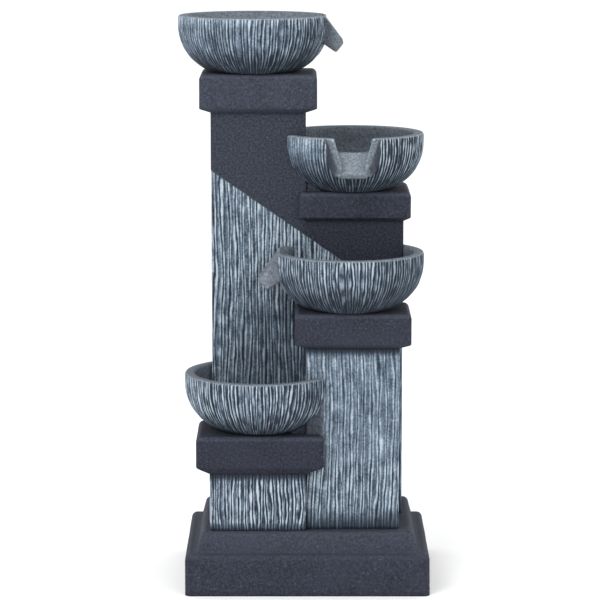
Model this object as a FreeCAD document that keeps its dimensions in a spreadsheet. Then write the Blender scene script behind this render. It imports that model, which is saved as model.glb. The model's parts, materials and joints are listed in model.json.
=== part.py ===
import FreeCAD, Part
import math
import operator
import os
from types import SimpleNamespace

import Sketcher

# A cascading bowl fountain in cast resin. Four hollow columns of stepped height stand two by
# two on a stepped plinth. Each carries a cap and a round bowl, and water that a pump lifts
# inside the tallest column spills from bowl to bowl in a falling spiral.
# Millimetres, X to the right seen from the front, Y to the back, Z up. The origin is the middle
# of the plinth's underside, and the front faces of the two rear columns lie in the plane Y = 0.

DRIVING_SIZES = {
    # Plinth
    "plinth_width": 362,
    "plinth_depth": 282,
    "plinth_step_height": 62,
    "plinth_height": 92,
    "tier_ledge": 17,
    "tier_slope": 8,
    "plinth_wall": 8,
    "plinth_edge_radius": 6,
    "base_plate_thickness": 8,
    "deck_ledge": 4,
    # Columns
    "column_joint_x": -2,
    "column_wall": 7,
    "column_edge_radius": 4,
    "rear_column_depth": 115,
    "rear_left_width": 142,
    "rear_right_width": 146,
    "front_right_width": 138,
    "front_right_depth": 100,
    "front_left_width": 143,
    "front_left_depth": 110,
    "carving_drop": 0.9,
    "carving_left_height": 524,
    "carving_right_height": 325,
    # Caps
    "top_cap_thickness": 51,
    "second_cap_thickness": 38,
    "third_cap_thickness": 46,
    "lowest_cap_thickness": 46.5,
    "top_cap_overhang": 17,
    "second_cap_overhang": 11,
    "third_cap_overhang": 17,
    "lowest_cap_overhang": 23,
    "lowest_cap_shift": 3.5,
    "cap_front_overhang": 13,
    "top_cap_undercut": 6.5,
    "second_cap_undercut": 6.5,
    "third_cap_undercut": 6.5,
    "lowest_cap_undercut": 11.5,
    "cap_edge_radius": 8,
    "cap_roof": 12,
    "cap_plug_depth": 8,
    "cap_plug_wall": 5,
    "cap_plug_clearance": 0.5,
    # Bowls
    "top_bowl_x": -81,
    "top_bowl_y": 57,
    "top_bowl_radius": 113,
    "top_rim_rise": 175,
    "second_bowl_x": 67,
    "second_bowl_y": 49,
    "second_bowl_radius": 109,
    "second_rim_rise": 167,
    "third_bowl_x": 62,
    "third_bowl_y": -46,
    "third_bowl_radius": 111,
    "third_rim_rise": 181,
    "lowest_bowl_x": -71,
    "lowest_bowl_y": -46,
    "lowest_bowl_radius": 112,
    "lowest_rim_rise": 228,
    "bowl_height": 84,
    "bowl_foot_inset": 48,
    "bowl_floor_inset": 61,
    "bowl_floor": 12,
    "rim_width": 16,
    "rim_band": 15,
    "rim_edge_radius": 4,
    # Spouts
    "spout_reach": 23,
    "spout_root_inset": 7,
    "spout_lip_drop": 40,
    "spout_tip_drop": 55,
    "spout_tip_setback": 12,
    "spout_root_drop": 36,
    "spout_root_width": 84,
    "spout_tip_width": 57,
    "channel_root_width": 56,
    "channel_tip_width": 34,
    "channel_sill_drop": 22,
    "channel_lip_drop": 50,
    "channel_lip_reach": 15,
    # Access door and grommet in the back of the tall column
    "door_width": 110,
    "door_height": 150,
    "door_thickness": 3.5,
    "door_ledge": 7,
    "door_clearance": 0.6,
    "door_rise": 35,
    "door_finger_radius": 11,
    "door_finger_drop": 24,
    "grommet_rise": 17,
    "grommet_hole_radius": 8,
    "grommet_flange_radius": 11,
    "grommet_flange_thickness": 2,
    "grommet_bore_radius": 3.5,
    # Drain plug in the back of the plinth
    "plug_x": 110,
    "plug_rise": 24,
    "plug_hole_radius": 9,
    "plug_head_radius": 13,
    "plug_head_thickness": 5,
    "plug_shank_overrun": 4,
    "plug_grip_width": 5,
    "plug_grip_height": 9,
    # Pump
    "pump_width": 48,
    "pump_height": 46,
    "pump_edge_radius": 5,
    "foot_height": 6,
    "foot_radius": 8,
    "foot_stem_radius": 4,
    "foot_inset": 8,
    "motor_length": 36,
    "rotor_radius": 8.9,
    "rotor_length": 28,
    "rotor_gap": 0.4,
    "rotor_end_gap": 1,
    "shaft_radius": 1.5,
    "bush_radius": 3.5,
    "bush_length": 4,
    "running_clearance": 0.05,
    "volute_length": 14,
    "volute_chamber_radius": 15,
    "volute_front_wall": 2,
    "volute_boss_wall": 2,
    "inlet_hole_radius": 2.2,
    "inlet_pitch_radius": 9,
    "impeller_radius": 13.5,
    "impeller_disc": 1.5,
    "impeller_hub_radius": 4,
    "blade_thickness": 1.6,
    "blade_height": 6,
    "outlet_radius": 6.4,
    "outlet_bore_radius": 4.5,
    "outlet_height": 20,
    "strainer_length": 18,
    "strainer_wall": 2,
    "strainer_slot_width": 2.4,
    "strainer_slot_pitch": 4.6,
    "strainer_slot_length": 30,
    "dial_radius": 16,
    "dial_thickness": 2.5,
    "dial_face_gap": 0.3,
    "dial_window_radius": 4,
    "dial_window_pitch": 10,
    "dial_pin_radius": 3,
    "dial_pin_head_radius": 4.2,
    "dial_pin_head_height": 1.2,
    "dial_tab_reach": 6,
    "dial_tab_width": 6,
    "dial_tab_height": 3,
    # Riser and drain plumbing
    "tube_wall": 2,
    "tube_fit": 0.1,
    "tube_end_gap": 2,
    "clamp_thickness": 1.2,
    "clamp_width": 9,
    "clamp_end_offset": 4,
    "clamp_screw_length": 14,
    "clamp_screw_height": 7,
    "fitting_flange_thickness": 4,
    "fitting_thread_length": 12,
    "fitting_tail_length": 22,
    "fitting_hole_clearance": 0.5,
    "nut_clearance": 0.05,
    "nut_thickness": 8,
    "nut_rim": 5,
    "nut_access": 4,
    "washer_thickness": 2,
    "riser_flange_radius": 16,
    "riser_stem_radius": 10,
    "riser_bore_radius": 5,
    "riser_nozzle_radius": 8,
    "riser_nozzle_height": 7,
    "drain_flange_radius": 20,
    "drain_stem_radius": 12.5,
    "drain_bore_radius": 9,
    "drain_tail_radius": 10.4,
    "drain_tube_floor_gap": 14,
    "leaf_dome_radius": 18,
    "leaf_dome_height": 14,
    "leaf_dome_base": 3,
    "leaf_dome_wall": 2,
    "leaf_spigot_length": 8,
    "leaf_spigot_wall": 1.6,
    "leaf_spigot_clearance": 0.2,
    "leaf_slot_width": 2.6,
}
IMPELLER_BLADES = 6
INLET_HOLES = 6
DIAL_WINDOWS = 4
STRAINER_SLOTS = 3
LEAF_SLOTS = 10
NUT_SIDES = 6
FULL_TURN = 360
HALF_TURN = 180
QUARTER_TURN = 90
SAME_PLACE = 0.01

document = FreeCAD.newDocument("cascading_bowl_fountain")
sheet = document.addObject("Spreadsheet::Sheet", "Sizes")
for row, (size_name, size_value) in enumerate(DRIVING_SIZES.items(), start=1):
    sheet.set(f"A{row}", size_name)
    sheet.set(f"B{row}", str(size_value))
    sheet.setAlias(f"B{row}", size_name)
document.recompute()

OPERATIONS = {"+": operator.add, "-": operator.sub, "*": operator.mul, "/": operator.truediv}


class Size:
    """A length together with the spreadsheet formula that gives it."""

    def __init__(self, value, formula):
        self.value = value
        self.formula = formula

    def __add__(self, other):
        return joined(self, "+", other)

    def __radd__(self, other):
        return joined(other, "+", self)

    def __sub__(self, other):
        return joined(self, "-", other)

    def __rsub__(self, other):
        return joined(other, "-", self)

    def __mul__(self, other):
        return joined(self, "*", other)

    def __rmul__(self, other):
        return joined(other, "*", self)

    def __truediv__(self, other):
        return joined(self, "/", other)

    def __neg__(self):
        return joined(0, "-", self)


def as_size(length):
    return length if isinstance(length, Size) else Size(float(length), f"({length})")


def joined(left, sign, right):
    left = as_size(left)
    right = as_size(right)
    value = OPERATIONS[sign](left.value, right.value)
    return Size(value, f"({left.formula} {sign} {right.formula})")


size = SimpleNamespace(**{name: Size(float(sheet.get(name)), f"Sizes.{name}") for name in DRIVING_SIZES})
sub_parts = []


def bind(item, formulas):
    """Tie properties of an object to spreadsheet formulas."""
    for path, length in formulas.items():
        item.setExpression(path, as_size(length).formula)


def place(item, x, y, z, axis="Z", turn=0):
    """Put an object at a point, with its own Z axis along world Z or Y, turned about that axis."""
    lean = FreeCAD.Rotation(FreeCAD.Vector(1, 0, 0), -QUARTER_TURN if axis == "Y" else 0)
    spin = FreeCAD.Rotation(FreeCAD.Vector(0, 0, 1), turn)
    item.Placement = FreeCAD.Placement(FreeCAD.Vector(0, 0, 0), lean * spin)
    bind(item, {"Placement.Base.x": x, "Placement.Base.y": y, "Placement.Base.z": z})


def finished(item, label):
    item.Label = label
    sub_parts.append(item)
    return item


def new_body(name, x=0, y=0, z=0, axis="Z", turn=0):
    body = document.addObject("PartDesign::Body", name)
    place(body, x, y, z, axis, turn)
    return body


def drawing_on(body, role, offset=0):
    """A sketch on one of the body's own origin planes, moved along the plane's normal."""
    plane = next(item for item in body.Origin.OriginFeatures if item.Role == role)
    drawing = body.newObject("Sketcher::SketchObject", "Outline")
    drawing.AttachmentSupport = [(plane, "")]
    drawing.MapMode = "FlatFace"
    bind(drawing, {"AttachmentOffset.Base.z": offset})
    return drawing


def fix_point(drawing, edge, end, x, y):
    """Hold a point of a sketch at a place that the spreadsheet gives."""
    for kind, length, axis in (("DistanceX", x, -2), ("DistanceY", y, -1)):
        if not isinstance(length, Size) and length == 0:
            drawing.addConstraint(Sketcher.Constraint("PointOnObject", edge, end, axis))
            continue
        made = drawing.addConstraint(Sketcher.Constraint(kind, -1, 1, edge, end, as_size(length).value))
        bind(drawing, {f"Constraints[{made}]": length})


def arc_between(start, end, radius, turn):
    """The arc of under a half circle that goes from start to end, turning left (1) or right (-1)."""
    chord = end - start
    middle = (start + end) / 2
    side = FreeCAD.Vector(-chord.y, chord.x, 0).normalize()
    centre = middle + side * turn * math.sqrt(radius ** 2 - (chord.Length / 2) ** 2)
    first, last = (start, end) if turn > 0 else (end, start)
    angles = [math.atan2(point.y - centre.y, point.x - centre.x) for point in (first, last)]
    if angles[1] < angles[0]:
        angles[1] += 2 * math.pi
    circle_shape = Part.Circle(centre, FreeCAD.Vector(0, 0, 1), radius)
    return Part.ArcOfCircle(circle_shape, angles[0], angles[1])


def outline(drawing, corners):
    """A closed outline. A corner with a third and fourth value starts an arc: its radius and turn."""
    points = [FreeCAD.Vector(as_size(corner[0]).value, as_size(corner[1]).value, 0) for corner in corners]
    edges = []
    for index, corner in enumerate(corners):
        start = points[index]
        end = points[(index + 1) % len(points)]
        if len(corner) == 2:
            edge = drawing.addGeometry(Part.LineSegment(start, end))
            edges.append((edge, 1, 2))
            continue
        radius, turn = corner[2:]
        edge = drawing.addGeometry(arc_between(start, end, as_size(radius).value, turn))
        made = drawing.addConstraint(Sketcher.Constraint("Radius", edge, as_size(radius).value))
        bind(drawing, {f"Constraints[{made}]": radius})
        edges.append((edge, 1, 2) if turn > 0 else (edge, 2, 1))
    for index, (edge, start_end, far_end) in enumerate(edges):
        next_edge, next_start, _ = edges[(index + 1) % len(edges)]
        drawing.addConstraint(Sketcher.Constraint("Coincident", edge, far_end, next_edge, next_start))
        fix_point(drawing, edge, start_end, corners[index][0], corners[index][1])


def rectangle(drawing, left, right, low, high):
    outline(drawing, [(left, low), (right, low), (right, high), (left, high)])


def circle(drawing, x, y, radius):
    shape = Part.Circle(FreeCAD.Vector(as_size(x).value, as_size(y).value, 0), FreeCAD.Vector(0, 0, 1), 1)
    edge = drawing.addGeometry(shape)
    made = drawing.addConstraint(Sketcher.Constraint("Radius", edge, as_size(radius).value))
    bind(drawing, {f"Constraints[{made}]": radius})
    fix_point(drawing, edge, 3, x, y)


def pad(body, drawing, length, reverse=False, symmetric=False):
    feature = body.newObject("PartDesign::Pad", "Pad")
    feature.Profile = drawing
    feature.Reversed = reverse
    feature.SideType = "Symmetric" if symmetric else "One side"
    bind(feature, {"Length": length})
    return feature


def pocket(body, drawing, depth=None, reverse=False, symmetric=False):
    """Cut an outline to a depth, or right through; the cut runs against the sketch's normal."""
    feature = body.newObject("PartDesign::Pocket", "Pocket")
    feature.Profile = drawing
    feature.Reversed = reverse
    feature.SideType = "Symmetric" if symmetric else "One side"
    if depth is None:
        feature.Type = "ThroughAll"
    else:
        bind(feature, {"Length": depth})
    return feature


def loft(body, kind, sections):
    feature = body.newObject(f"PartDesign::{kind}", kind)
    feature.Profile = sections[0]
    feature.Sections = sections[1:]
    feature.Ruled = True
    return feature


def turn_round(body, kind, drawing):
    """Revolve or groove an outline a full turn about the body's own Z axis."""
    feature = body.newObject(f"PartDesign::{kind}", kind)
    feature.Profile = drawing
    feature.ReferenceAxis = (drawing, ["V_Axis"])
    feature.Angle = FULL_TURN
    return feature


def ring_of(body, feature, count):
    """Repeat a feature evenly about the body's own Z axis."""
    axis = next(item for item in body.Origin.OriginFeatures if item.Role == "Z_Axis")
    pattern = body.newObject("PartDesign::PolarPattern", "Ring")
    pattern.Originals = [feature]
    pattern.Axis = (axis, [""])
    pattern.Angle = FULL_TURN
    pattern.Occurrences = count
    body.Tip = pattern
    return pattern


def row_of(body, feature, count, role, length):
    """Repeat a feature in a row along one of the body's own axes."""
    axis = next(item for item in body.Origin.OriginFeatures if item.Role == role)
    pattern = body.newObject("PartDesign::LinearPattern", "Row")
    pattern.Originals = [feature]
    pattern.Direction = (axis, [""])
    pattern.Occurrences = count
    bind(pattern, {"Length": length})
    body.Tip = pattern
    return pattern


def round_edges(body, radius, wanted):
    """Fillet the edges of the body so far whose box passes a test."""
    document.recompute()
    feature = body.Tip
    names = [
        f"Edge{number}"
        for number, edge in enumerate(feature.Shape.Edges, start=1)
        if wanted(edge.BoundBox)
    ]
    fillet = body.newObject("PartDesign::Fillet", "Fillet")
    fillet.Base = (feature, names)
    bind(fillet, {"Radius": radius})
    return fillet


def near(first, second):
    return abs(first - as_size(second).value) < SAME_PLACE


def stands_up(bounds):
    """True for a straight edge that is parallel to Z."""
    return bounds.XLength < SAME_PLACE and bounds.YLength < SAME_PLACE


def revolved(name, profile, x, y, z, axis="Z"):
    body = new_body(name, x, y, z, axis)
    drawing = drawing_on(body, "XZ_Plane")
    outline(drawing, profile)
    turn_round(body, "Revolution", drawing)
    return body


def cut_by(item, tools):
    """Cut an object by a list of tools, one after another."""
    for tool in tools:
        result = document.addObject("Part::Cut", "Notched")
        result.Base = item
        result.Tool = tool
        item = result
    return item


# Plan of the columns, and what stands on each of them

half_plinth_width = size.plinth_width / 2
half_plinth_depth = size.plinth_depth / 2
plate_top = size.base_plate_thickness
joint_x = size.column_joint_x


def column_plan(left, right, front, back):
    return SimpleNamespace(left=left, right=right, front=front, back=back)


rear_left = column_plan(joint_x - size.rear_left_width, joint_x, 0, size.rear_column_depth)
rear_right = column_plan(joint_x, joint_x + size.rear_right_width, 0, size.rear_column_depth)
front_right = column_plan(joint_x, joint_x + size.front_right_width, -size.front_right_depth, 0)
front_left = column_plan(joint_x - size.front_left_width, joint_x, -size.front_left_depth, 0)


# Each rim stands a set rise above the one below it, and the lowest above the plinth
lowest_rim = size.plinth_height + size.lowest_rim_rise
third_rim = lowest_rim + size.third_rim_rise
second_rim = third_rim + size.second_rim_rise
top_rim = second_rim + size.top_rim_rise


def tier(name, rim, plan, neighbours, spout_turn, stem_radius=None, cap_shift=0):
    """One storey of the cascade: a column, its cap and its bowl, from the sizes with its name."""
    named = vars(size)
    cap_top = rim - size.bowl_height
    slab_bottom = cap_top - named[f"{name}_cap_thickness"]
    undercut = named[f"{name}_cap_undercut"]
    return SimpleNamespace(
        name=name,
        plan=plan,
        neighbours=neighbours,
        spout_turn=spout_turn,
        stem_radius=stem_radius,
        x=named[f"{name}_bowl_x"],
        y=named[f"{name}_bowl_y"],
        radius=named[f"{name}_bowl_radius"],
        rim=rim,
        cap_top=cap_top,
        slab_bottom=slab_bottom,
        undercut=undercut,
        column_top=slab_bottom - undercut,
        thickness=named[f"{name}_cap_thickness"],
        overhang=named[f"{name}_cap_overhang"],
        cap_shift=cap_shift,
    )


top = tier("top", top_rim, rear_left, [], 0, size.riser_stem_radius)
second = tier("second", second_rim, rear_right, [rear_left], -QUARTER_TURN)
third = tier("third", third_rim, front_right, [rear_left, rear_right], HALF_TURN)
beside_lowest = [rear_left, rear_right, front_right]
lowest = tier(
    "lowest", lowest_rim, front_left, beside_lowest, None, size.drain_stem_radius, size.lowest_cap_shift)


def envelope(plan, height):
    """The block that a column fills, which notches the bowls and caps beside it."""
    block = document.addObject("Part::Box", "Envelope")
    bind(block, {"Length": plan.right - plan.left, "Width": plan.back - plan.front, "Height": height})
    place(block, plan.left, plan.front, 0)
    return block


def tall_envelopes(storey):
    return [envelope(plan, top_rim) for plan in storey.neighbours]


# Plinth with its reservoir, and the plate that closes it from below

def inset_rectangle(drawing, inset):
    across = half_plinth_width - inset
    deep = half_plinth_depth - inset
    rectangle(drawing, -across, across, -deep, deep)


def make_plinth():
    body = new_body("Plinth")
    step = drawing_on(body, "XY_Plane")
    inset_rectangle(step, 0)
    pad(body, step, size.plinth_step_height)
    tier_foot = drawing_on(body, "XY_Plane", size.plinth_step_height)
    inset_rectangle(tier_foot, size.tier_ledge)
    tier_head = drawing_on(body, "XY_Plane", size.plinth_height)
    inset_rectangle(tier_head, size.tier_ledge + size.tier_slope)
    loft(body, "AdditiveLoft", [tier_foot, tier_head])

    def outer_edge(bounds):
        at_end = near(abs(bounds.Center.x), half_plinth_width)
        at_face = near(abs(bounds.Center.y), half_plinth_depth)
        step_rim = near(bounds.ZMin, size.plinth_step_height) and (at_end or at_face)
        corner = at_end and stands_up(bounds)
        head_rim = near(bounds.ZMin, size.plinth_height)
        slope_corner = near(bounds.ZMin, size.plinth_step_height) and near(bounds.ZMax, size.plinth_height)
        return step_rim or corner or head_rim or slope_corner

    round_edges(body, size.plinth_edge_radius, outer_edge)
    lower_room = drawing_on(body, "XY_Plane")
    inset_rectangle(lower_room, size.plinth_wall)
    pocket(body, lower_room, size.plinth_step_height - size.plinth_wall, reverse=True)
    upper_room = drawing_on(body, "XY_Plane")
    inset_rectangle(upper_room, size.tier_ledge + size.tier_slope + size.plinth_wall)
    pocket(body, upper_room, size.plinth_height - size.plinth_wall, reverse=True)
    deck = drawing_on(body, "XY_Plane")
    lap = size.column_wall + size.deck_ledge
    for plan in (rear_left, rear_right, front_right, front_left):
        rectangle(deck, plan.left + lap, plan.right - lap, plan.front + lap, plan.back - lap)
    pocket(body, deck, reverse=True)
    plug_hole = drawing_on(body, "XZ_Plane")
    circle(plug_hole, size.plug_x, size.plug_rise, size.plug_hole_radius)
    pocket(body, plug_hole)
    return finished(body, "plinth")


def make_base_plate():
    plate = document.addObject("Part::Box", "BasePlate")
    across = size.plinth_width - 2 * size.plinth_wall
    deep = size.plinth_depth - 2 * size.plinth_wall
    bind(plate, {"Length": across, "Width": deep, "Height": size.base_plate_thickness})
    place(plate, -across / 2, -deep / 2, 0)
    return finished(plate, "base_plate")


# Columns: square tubes that stand on the plinth's deck

def make_column(storey):
    plan = storey.plan
    wall = size.column_wall
    body = new_body(f"{storey.name}Column", z=size.plinth_height)
    walls = drawing_on(body, "XY_Plane")
    rectangle(walls, plan.left, plan.right, plan.front, plan.back)
    rectangle(walls, plan.left + wall, plan.right - wall, plan.front + wall, plan.back - wall)
    pad(body, walls, storey.column_top - size.plinth_height)

    def outer_corner(bounds):
        beside = near(bounds.Center.x, plan.left) or near(bounds.Center.x, plan.right)
        return stands_up(bounds) and beside

    round_edges(body, size.column_edge_radius, outer_corner)
    return body


def carved_zone(core_left, core_right):
    """The skin that carving takes off a rear column, below a line that falls from left to right."""
    past = size.column_edge_radius
    left = rear_left.left - past
    right = rear_right.right + past
    slope = (size.carving_left_height - size.carving_right_height) / (rear_right.right - rear_left.left)
    left_top = size.plinth_height + size.carving_left_height + slope * past
    right_top = size.plinth_height + size.carving_right_height - slope * past
    zone = new_body("CarvedZone")
    face = drawing_on(zone, "XZ_Plane")
    outline(face, [(left, 0), (right, 0), (right, right_top), (left, left_top)])
    pad(zone, face, 2 * (size.rear_column_depth + past), symmetric=True)
    drop = size.carving_drop
    core = document.addObject("Part::Box", "Core")
    bind(core, {
        "Length": core_right - core_left,
        "Width": size.rear_column_depth - 2 * drop,
        "Height": top_rim,
    })
    place(core, core_left, drop, 0)
    return cut_by(zone, [core])


carved_back = size.rear_column_depth - size.carving_drop
door_x = (rear_left.left + rear_left.right) / 2
door_low = size.door_rise
door_high = size.door_rise + size.door_height
half_door = size.door_width / 2


def make_tall_column():
    """The tallest column, with a rebated doorway and a grommet hole in its back wall."""
    body = make_column(top)
    ledge = size.door_ledge
    behind_wall = size.column_wall + ledge - size.rear_column_depth
    doorway = drawing_on(body, "XZ_Plane", behind_wall)
    half_doorway = half_door - ledge
    rectangle(doorway, door_x - half_doorway, door_x + half_doorway, door_low + ledge, door_high - ledge)
    pocket(body, doorway)
    rebate = drawing_on(body, "XZ_Plane", size.door_thickness - carved_back)
    rectangle(rebate, door_x - half_door, door_x + half_door, door_low, door_high)
    pocket(body, rebate)
    grommet_hole = drawing_on(body, "XZ_Plane", behind_wall)
    circle(grommet_hole, door_x, size.grommet_rise, size.grommet_hole_radius)
    pocket(body, grommet_hole)
    skin = carved_zone(rear_left.left + size.carving_drop, rear_left.right)
    return finished(cut_by(body, [skin]), "rear_left_column")


def make_rear_right_column():
    skin = carved_zone(rear_right.left, rear_right.right - size.carving_drop)
    return finished(cut_by(make_column(second), [skin]), "rear_right_column")


def make_access_door():
    """A flush panel that lies on the doorway's ledge, with a finger hole to pull it out by."""
    body = new_body("AccessDoor", z=size.plinth_height)
    panel = drawing_on(body, "XZ_Plane", size.door_thickness - carved_back)
    across = half_door - size.door_clearance
    low = door_low + size.door_clearance
    high = door_high - size.door_clearance
    rectangle(panel, door_x - across, door_x + across, low, high)
    circle(panel, door_x, door_high - size.door_finger_drop, size.door_finger_radius)
    pad(body, panel, size.door_thickness, reverse=True)
    return finished(body, "access_door")


def make_cord_grommet():
    """A flanged rubber ring that grips both faces of the column's back wall."""
    hole = size.grommet_hole_radius - size.tube_fit
    flange = size.grommet_flange_radius
    lip = size.grommet_flange_thickness
    wall = size.column_wall - size.carving_drop
    bore = size.grommet_bore_radius
    profile = [
        (bore, -lip), (flange, -lip), (flange, 0), (hole, 0),
        (hole, wall), (flange, wall), (flange, wall + lip), (bore, wall + lip),
    ]
    height = size.plinth_height + size.grommet_rise
    body = revolved("CordGrommet", profile, door_x, carved_back - wall, height, axis="Y")
    return finished(body, "cord_grommet")


# Caps: slabs with rounded edges and a sloping underside, plugged into the column below

def make_cap(storey):
    plan = storey.plan
    name = storey.name
    front_reach = plan.front - size.cap_front_overhang
    back_reach = plan.back if plan.back == 0 else plan.back + size.cap_front_overhang
    left = plan.left - storey.overhang + storey.cap_shift
    right = plan.right + storey.overhang + storey.cap_shift
    body = new_body(f"{name}Cap", z=storey.slab_bottom)
    undercut_foot = drawing_on(body, "XY_Plane", -storey.undercut)
    rectangle(undercut_foot, plan.left, plan.right, plan.front, plan.back)
    undercut_head = drawing_on(body, "XY_Plane")
    rectangle(undercut_head, left, right, front_reach, back_reach)
    loft(body, "AdditiveLoft", [undercut_foot, undercut_head])
    slab = drawing_on(body, "XY_Plane")
    rectangle(slab, left, right, front_reach, back_reach)
    pad(body, slab, storey.thickness)

    def outer_edge(bounds):
        at_wall = near(bounds.Center.y, back_reach) and plan.back == 0
        upper = near(bounds.ZMin, storey.thickness)
        upright = stands_up(bounds) and near(bounds.ZMax, storey.thickness)
        return (upper or upright) and not at_wall

    round_edges(body, size.cap_edge_radius, outer_edge)
    fit = size.column_wall + size.cap_plug_clearance
    room = fit + size.cap_plug_wall
    plug = drawing_on(body, "XY_Plane", -storey.undercut)
    rectangle(plug, plan.left + fit, plan.right - fit, plan.front + fit, plan.back - fit)
    pad(body, plug, size.cap_plug_depth, reverse=True)
    hollow = drawing_on(body, "XY_Plane", -storey.undercut - size.cap_plug_depth)
    rectangle(hollow, plan.left + room, plan.right - room, plan.front + room, plan.back - room)
    depth = size.cap_plug_depth + storey.undercut + storey.thickness - size.cap_roof
    pocket(body, hollow, depth, reverse=True)
    if storey.stem_radius is not None:
        nut_hole = drawing_on(body, "XY_Plane")
        circle(nut_hole, storey.x, storey.y, nut_reach(storey.stem_radius) + size.nut_access)
        pocket(body, nut_hole, reverse=True)
    return finished(cut_by(body, tall_envelopes(storey)), f"{name}_cap")


def nut_flat(stem_radius):
    """Half the width across the flats of the nut on a threaded stem."""
    return stem_radius + size.nut_rim


def nut_reach(stem_radius):
    """From the middle of a nut to its corners."""
    return nut_flat(stem_radius) / math.cos(math.pi / NUT_SIDES)


# Bowls: bellied round shells with a pouring spout, notched where a column stands in them

def arc_radius(across, along):
    """Radius of an arc that leaves a vertical wall smoothly and ends across in and along down."""
    return (across * across + along * along) / (2 * across)


def add_spout(body, radius):
    """A trough with sloping walls, which narrows from the rim to its lip, along the body's X."""
    root = radius - size.spout_root_inset
    tip = radius + size.spout_reach
    behind = radius - size.bowl_foot_inset
    side = drawing_on(body, "XZ_Plane")
    outline(side, [
        (behind, 0),
        (behind, -size.spout_root_drop),
        (radius - size.rim_width, -size.spout_root_drop),
        (tip - size.spout_tip_setback, -size.spout_tip_drop),
        (tip, -size.spout_lip_drop),
        (root, 0),
    ])
    pad(body, side, size.spout_root_width, symmetric=True)
    flare = (size.spout_root_width - size.spout_tip_width) / 2
    wide = size.spout_root_width / 2
    past = tip + size.spout_reach
    past_flare = flare * (past - root) / (tip - root)
    for sign in (-1, 1):
        trim = drawing_on(body, "XY_Plane")
        outline(trim, [(root, sign * wide), (past, sign * wide), (past, sign * (wide - past_flare))])
        pocket(body, trim, symmetric=True)


def cut_channel(body, radius):
    """The water's way out: a cut that drops and narrows from the bowl's inside to the spout's lip."""
    sill = radius - size.rim_width
    lip = radius + size.channel_lip_reach
    root = radius - size.spout_root_inset
    tip = radius + size.spout_reach
    fall = (size.channel_lip_drop - size.channel_sill_drop) / (lip - sill)
    taper = (size.channel_root_width - size.channel_tip_width) / (tip - root) / 2
    sections = []
    for distance in (sill - size.rim_width, tip + size.spout_reach):
        half_width = size.channel_root_width / 2 - taper * (distance - root)
        floor = -size.channel_sill_drop - fall * (distance - sill)
        section = drawing_on(body, "YZ_Plane", distance)
        rectangle(section, -half_width, half_width, floor, size.rim_width)
        sections.append(section)
    loft(body, "SubtractiveLoft", sections)


def make_bowl(storey):
    radius = storey.radius
    height = size.bowl_height
    band = size.rim_band
    edge = size.rim_edge_radius
    foot = radius - size.bowl_foot_inset
    turn = storey.spout_turn or 0
    body = new_body(f"{storey.name}Bowl", storey.x, storey.y, storey.rim, turn=turn)
    outside = drawing_on(body, "XZ_Plane")
    outline(outside, [
        (0, -height),
        (foot, -height, arc_radius(size.bowl_foot_inset, height - band), 1),
        (radius, -band),
        (radius, -edge, edge, 1),
        (radius - edge, 0),
        (0, 0),
    ])
    turn_round(body, "Revolution", outside)
    if storey.spout_turn is not None:
        add_spout(body, radius)
    inner = radius - size.rim_width
    floor_radius = radius - size.bowl_floor_inset
    depth = height - size.bowl_floor
    inside = drawing_on(body, "XZ_Plane")
    outline(inside, [
        (0, -depth),
        (floor_radius, -depth, arc_radius(inner - floor_radius, depth - band), 1),
        (inner, -band),
        (inner, -edge, edge, -1),
        (inner + edge, 0),
        (inner + edge, edge),
        (0, edge),
    ])
    turn_round(body, "Groove", inside)
    if storey.spout_turn is not None:
        cut_channel(body, radius)
    if storey.stem_radius is not None:
        stem_hole = drawing_on(body, "XY_Plane")
        circle(stem_hole, 0, 0, storey.stem_radius + size.fitting_hole_clearance)
        pocket(body, stem_hole)
    return finished(cut_by(body, tall_envelopes(storey)), f"{storey.name}_bowl")


# Drain plug: a rubber bung with a grip, pushed into the back of the plinth

def make_drain_plug():
    shank = size.plug_hole_radius - size.running_clearance
    reach = -size.plinth_wall - size.plug_shank_overrun
    profile = [
        (0, reach), (shank - size.plug_shank_overrun / 2, reach), (shank, -size.plinth_wall), (shank, 0),
        (size.plug_head_radius, 0), (size.plug_head_radius, size.plug_head_thickness),
        (0, size.plug_head_thickness),
    ]
    body = revolved("DrainPlug", profile, size.plug_x, half_plinth_depth, size.plug_rise, axis="Y")
    grip = drawing_on(body, "XY_Plane", size.plug_head_thickness)
    half_grip = size.plug_grip_width / 2
    reach_across = size.plug_head_radius - half_grip
    rectangle(grip, -reach_across, reach_across, -half_grip, half_grip)
    pad(body, grip, size.plug_grip_height)
    return finished(body, "drain_plug")


# Pump: its axis runs to the back, towards the door. In its own frame Z is that axis, Y points
# down, and Z = 0 is the joint between the motor and the impeller chamber.

pump_x = top.x
pump_joint_y = top.y - size.volute_length / 2
half_pump_width = size.pump_width / 2
half_pump_height = size.pump_height / 2
pump_axis_z = plate_top + size.foot_height + half_pump_height
well_depth = size.rotor_length + 2 * size.rotor_end_gap
shaft_start = -well_depth - size.bush_length
chamber_depth = size.volute_length - size.volute_front_wall
boss_height = size.bush_length - size.volute_front_wall
shaft_end = size.volute_length + boss_height


def new_pump_body(name):
    return new_body(name, pump_x, pump_joint_y, pump_axis_z, axis="Y")


def pump_rectangle(drawing, inset=0):
    across = half_pump_width - inset
    up = half_pump_height - inset
    rectangle(drawing, -across, across, -up, up)


def pump_corner(bounds):
    return stands_up(bounds) and near(abs(bounds.Center.x), half_pump_width)


def make_pump_body():
    body = new_pump_body("PumpBody")
    block = drawing_on(body, "XY_Plane")
    pump_rectangle(block)
    pad(body, block, size.motor_length, reverse=True)
    round_edges(body, size.pump_edge_radius, pump_corner)
    well = drawing_on(body, "XY_Plane")
    circle(well, 0, 0, size.rotor_radius + size.rotor_gap)
    pocket(body, well, well_depth)
    seat = drawing_on(body, "XY_Plane")
    circle(seat, 0, 0, size.bush_radius)
    pocket(body, seat, well_depth + size.bush_length)
    return finished(body, "pump_body")


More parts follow.
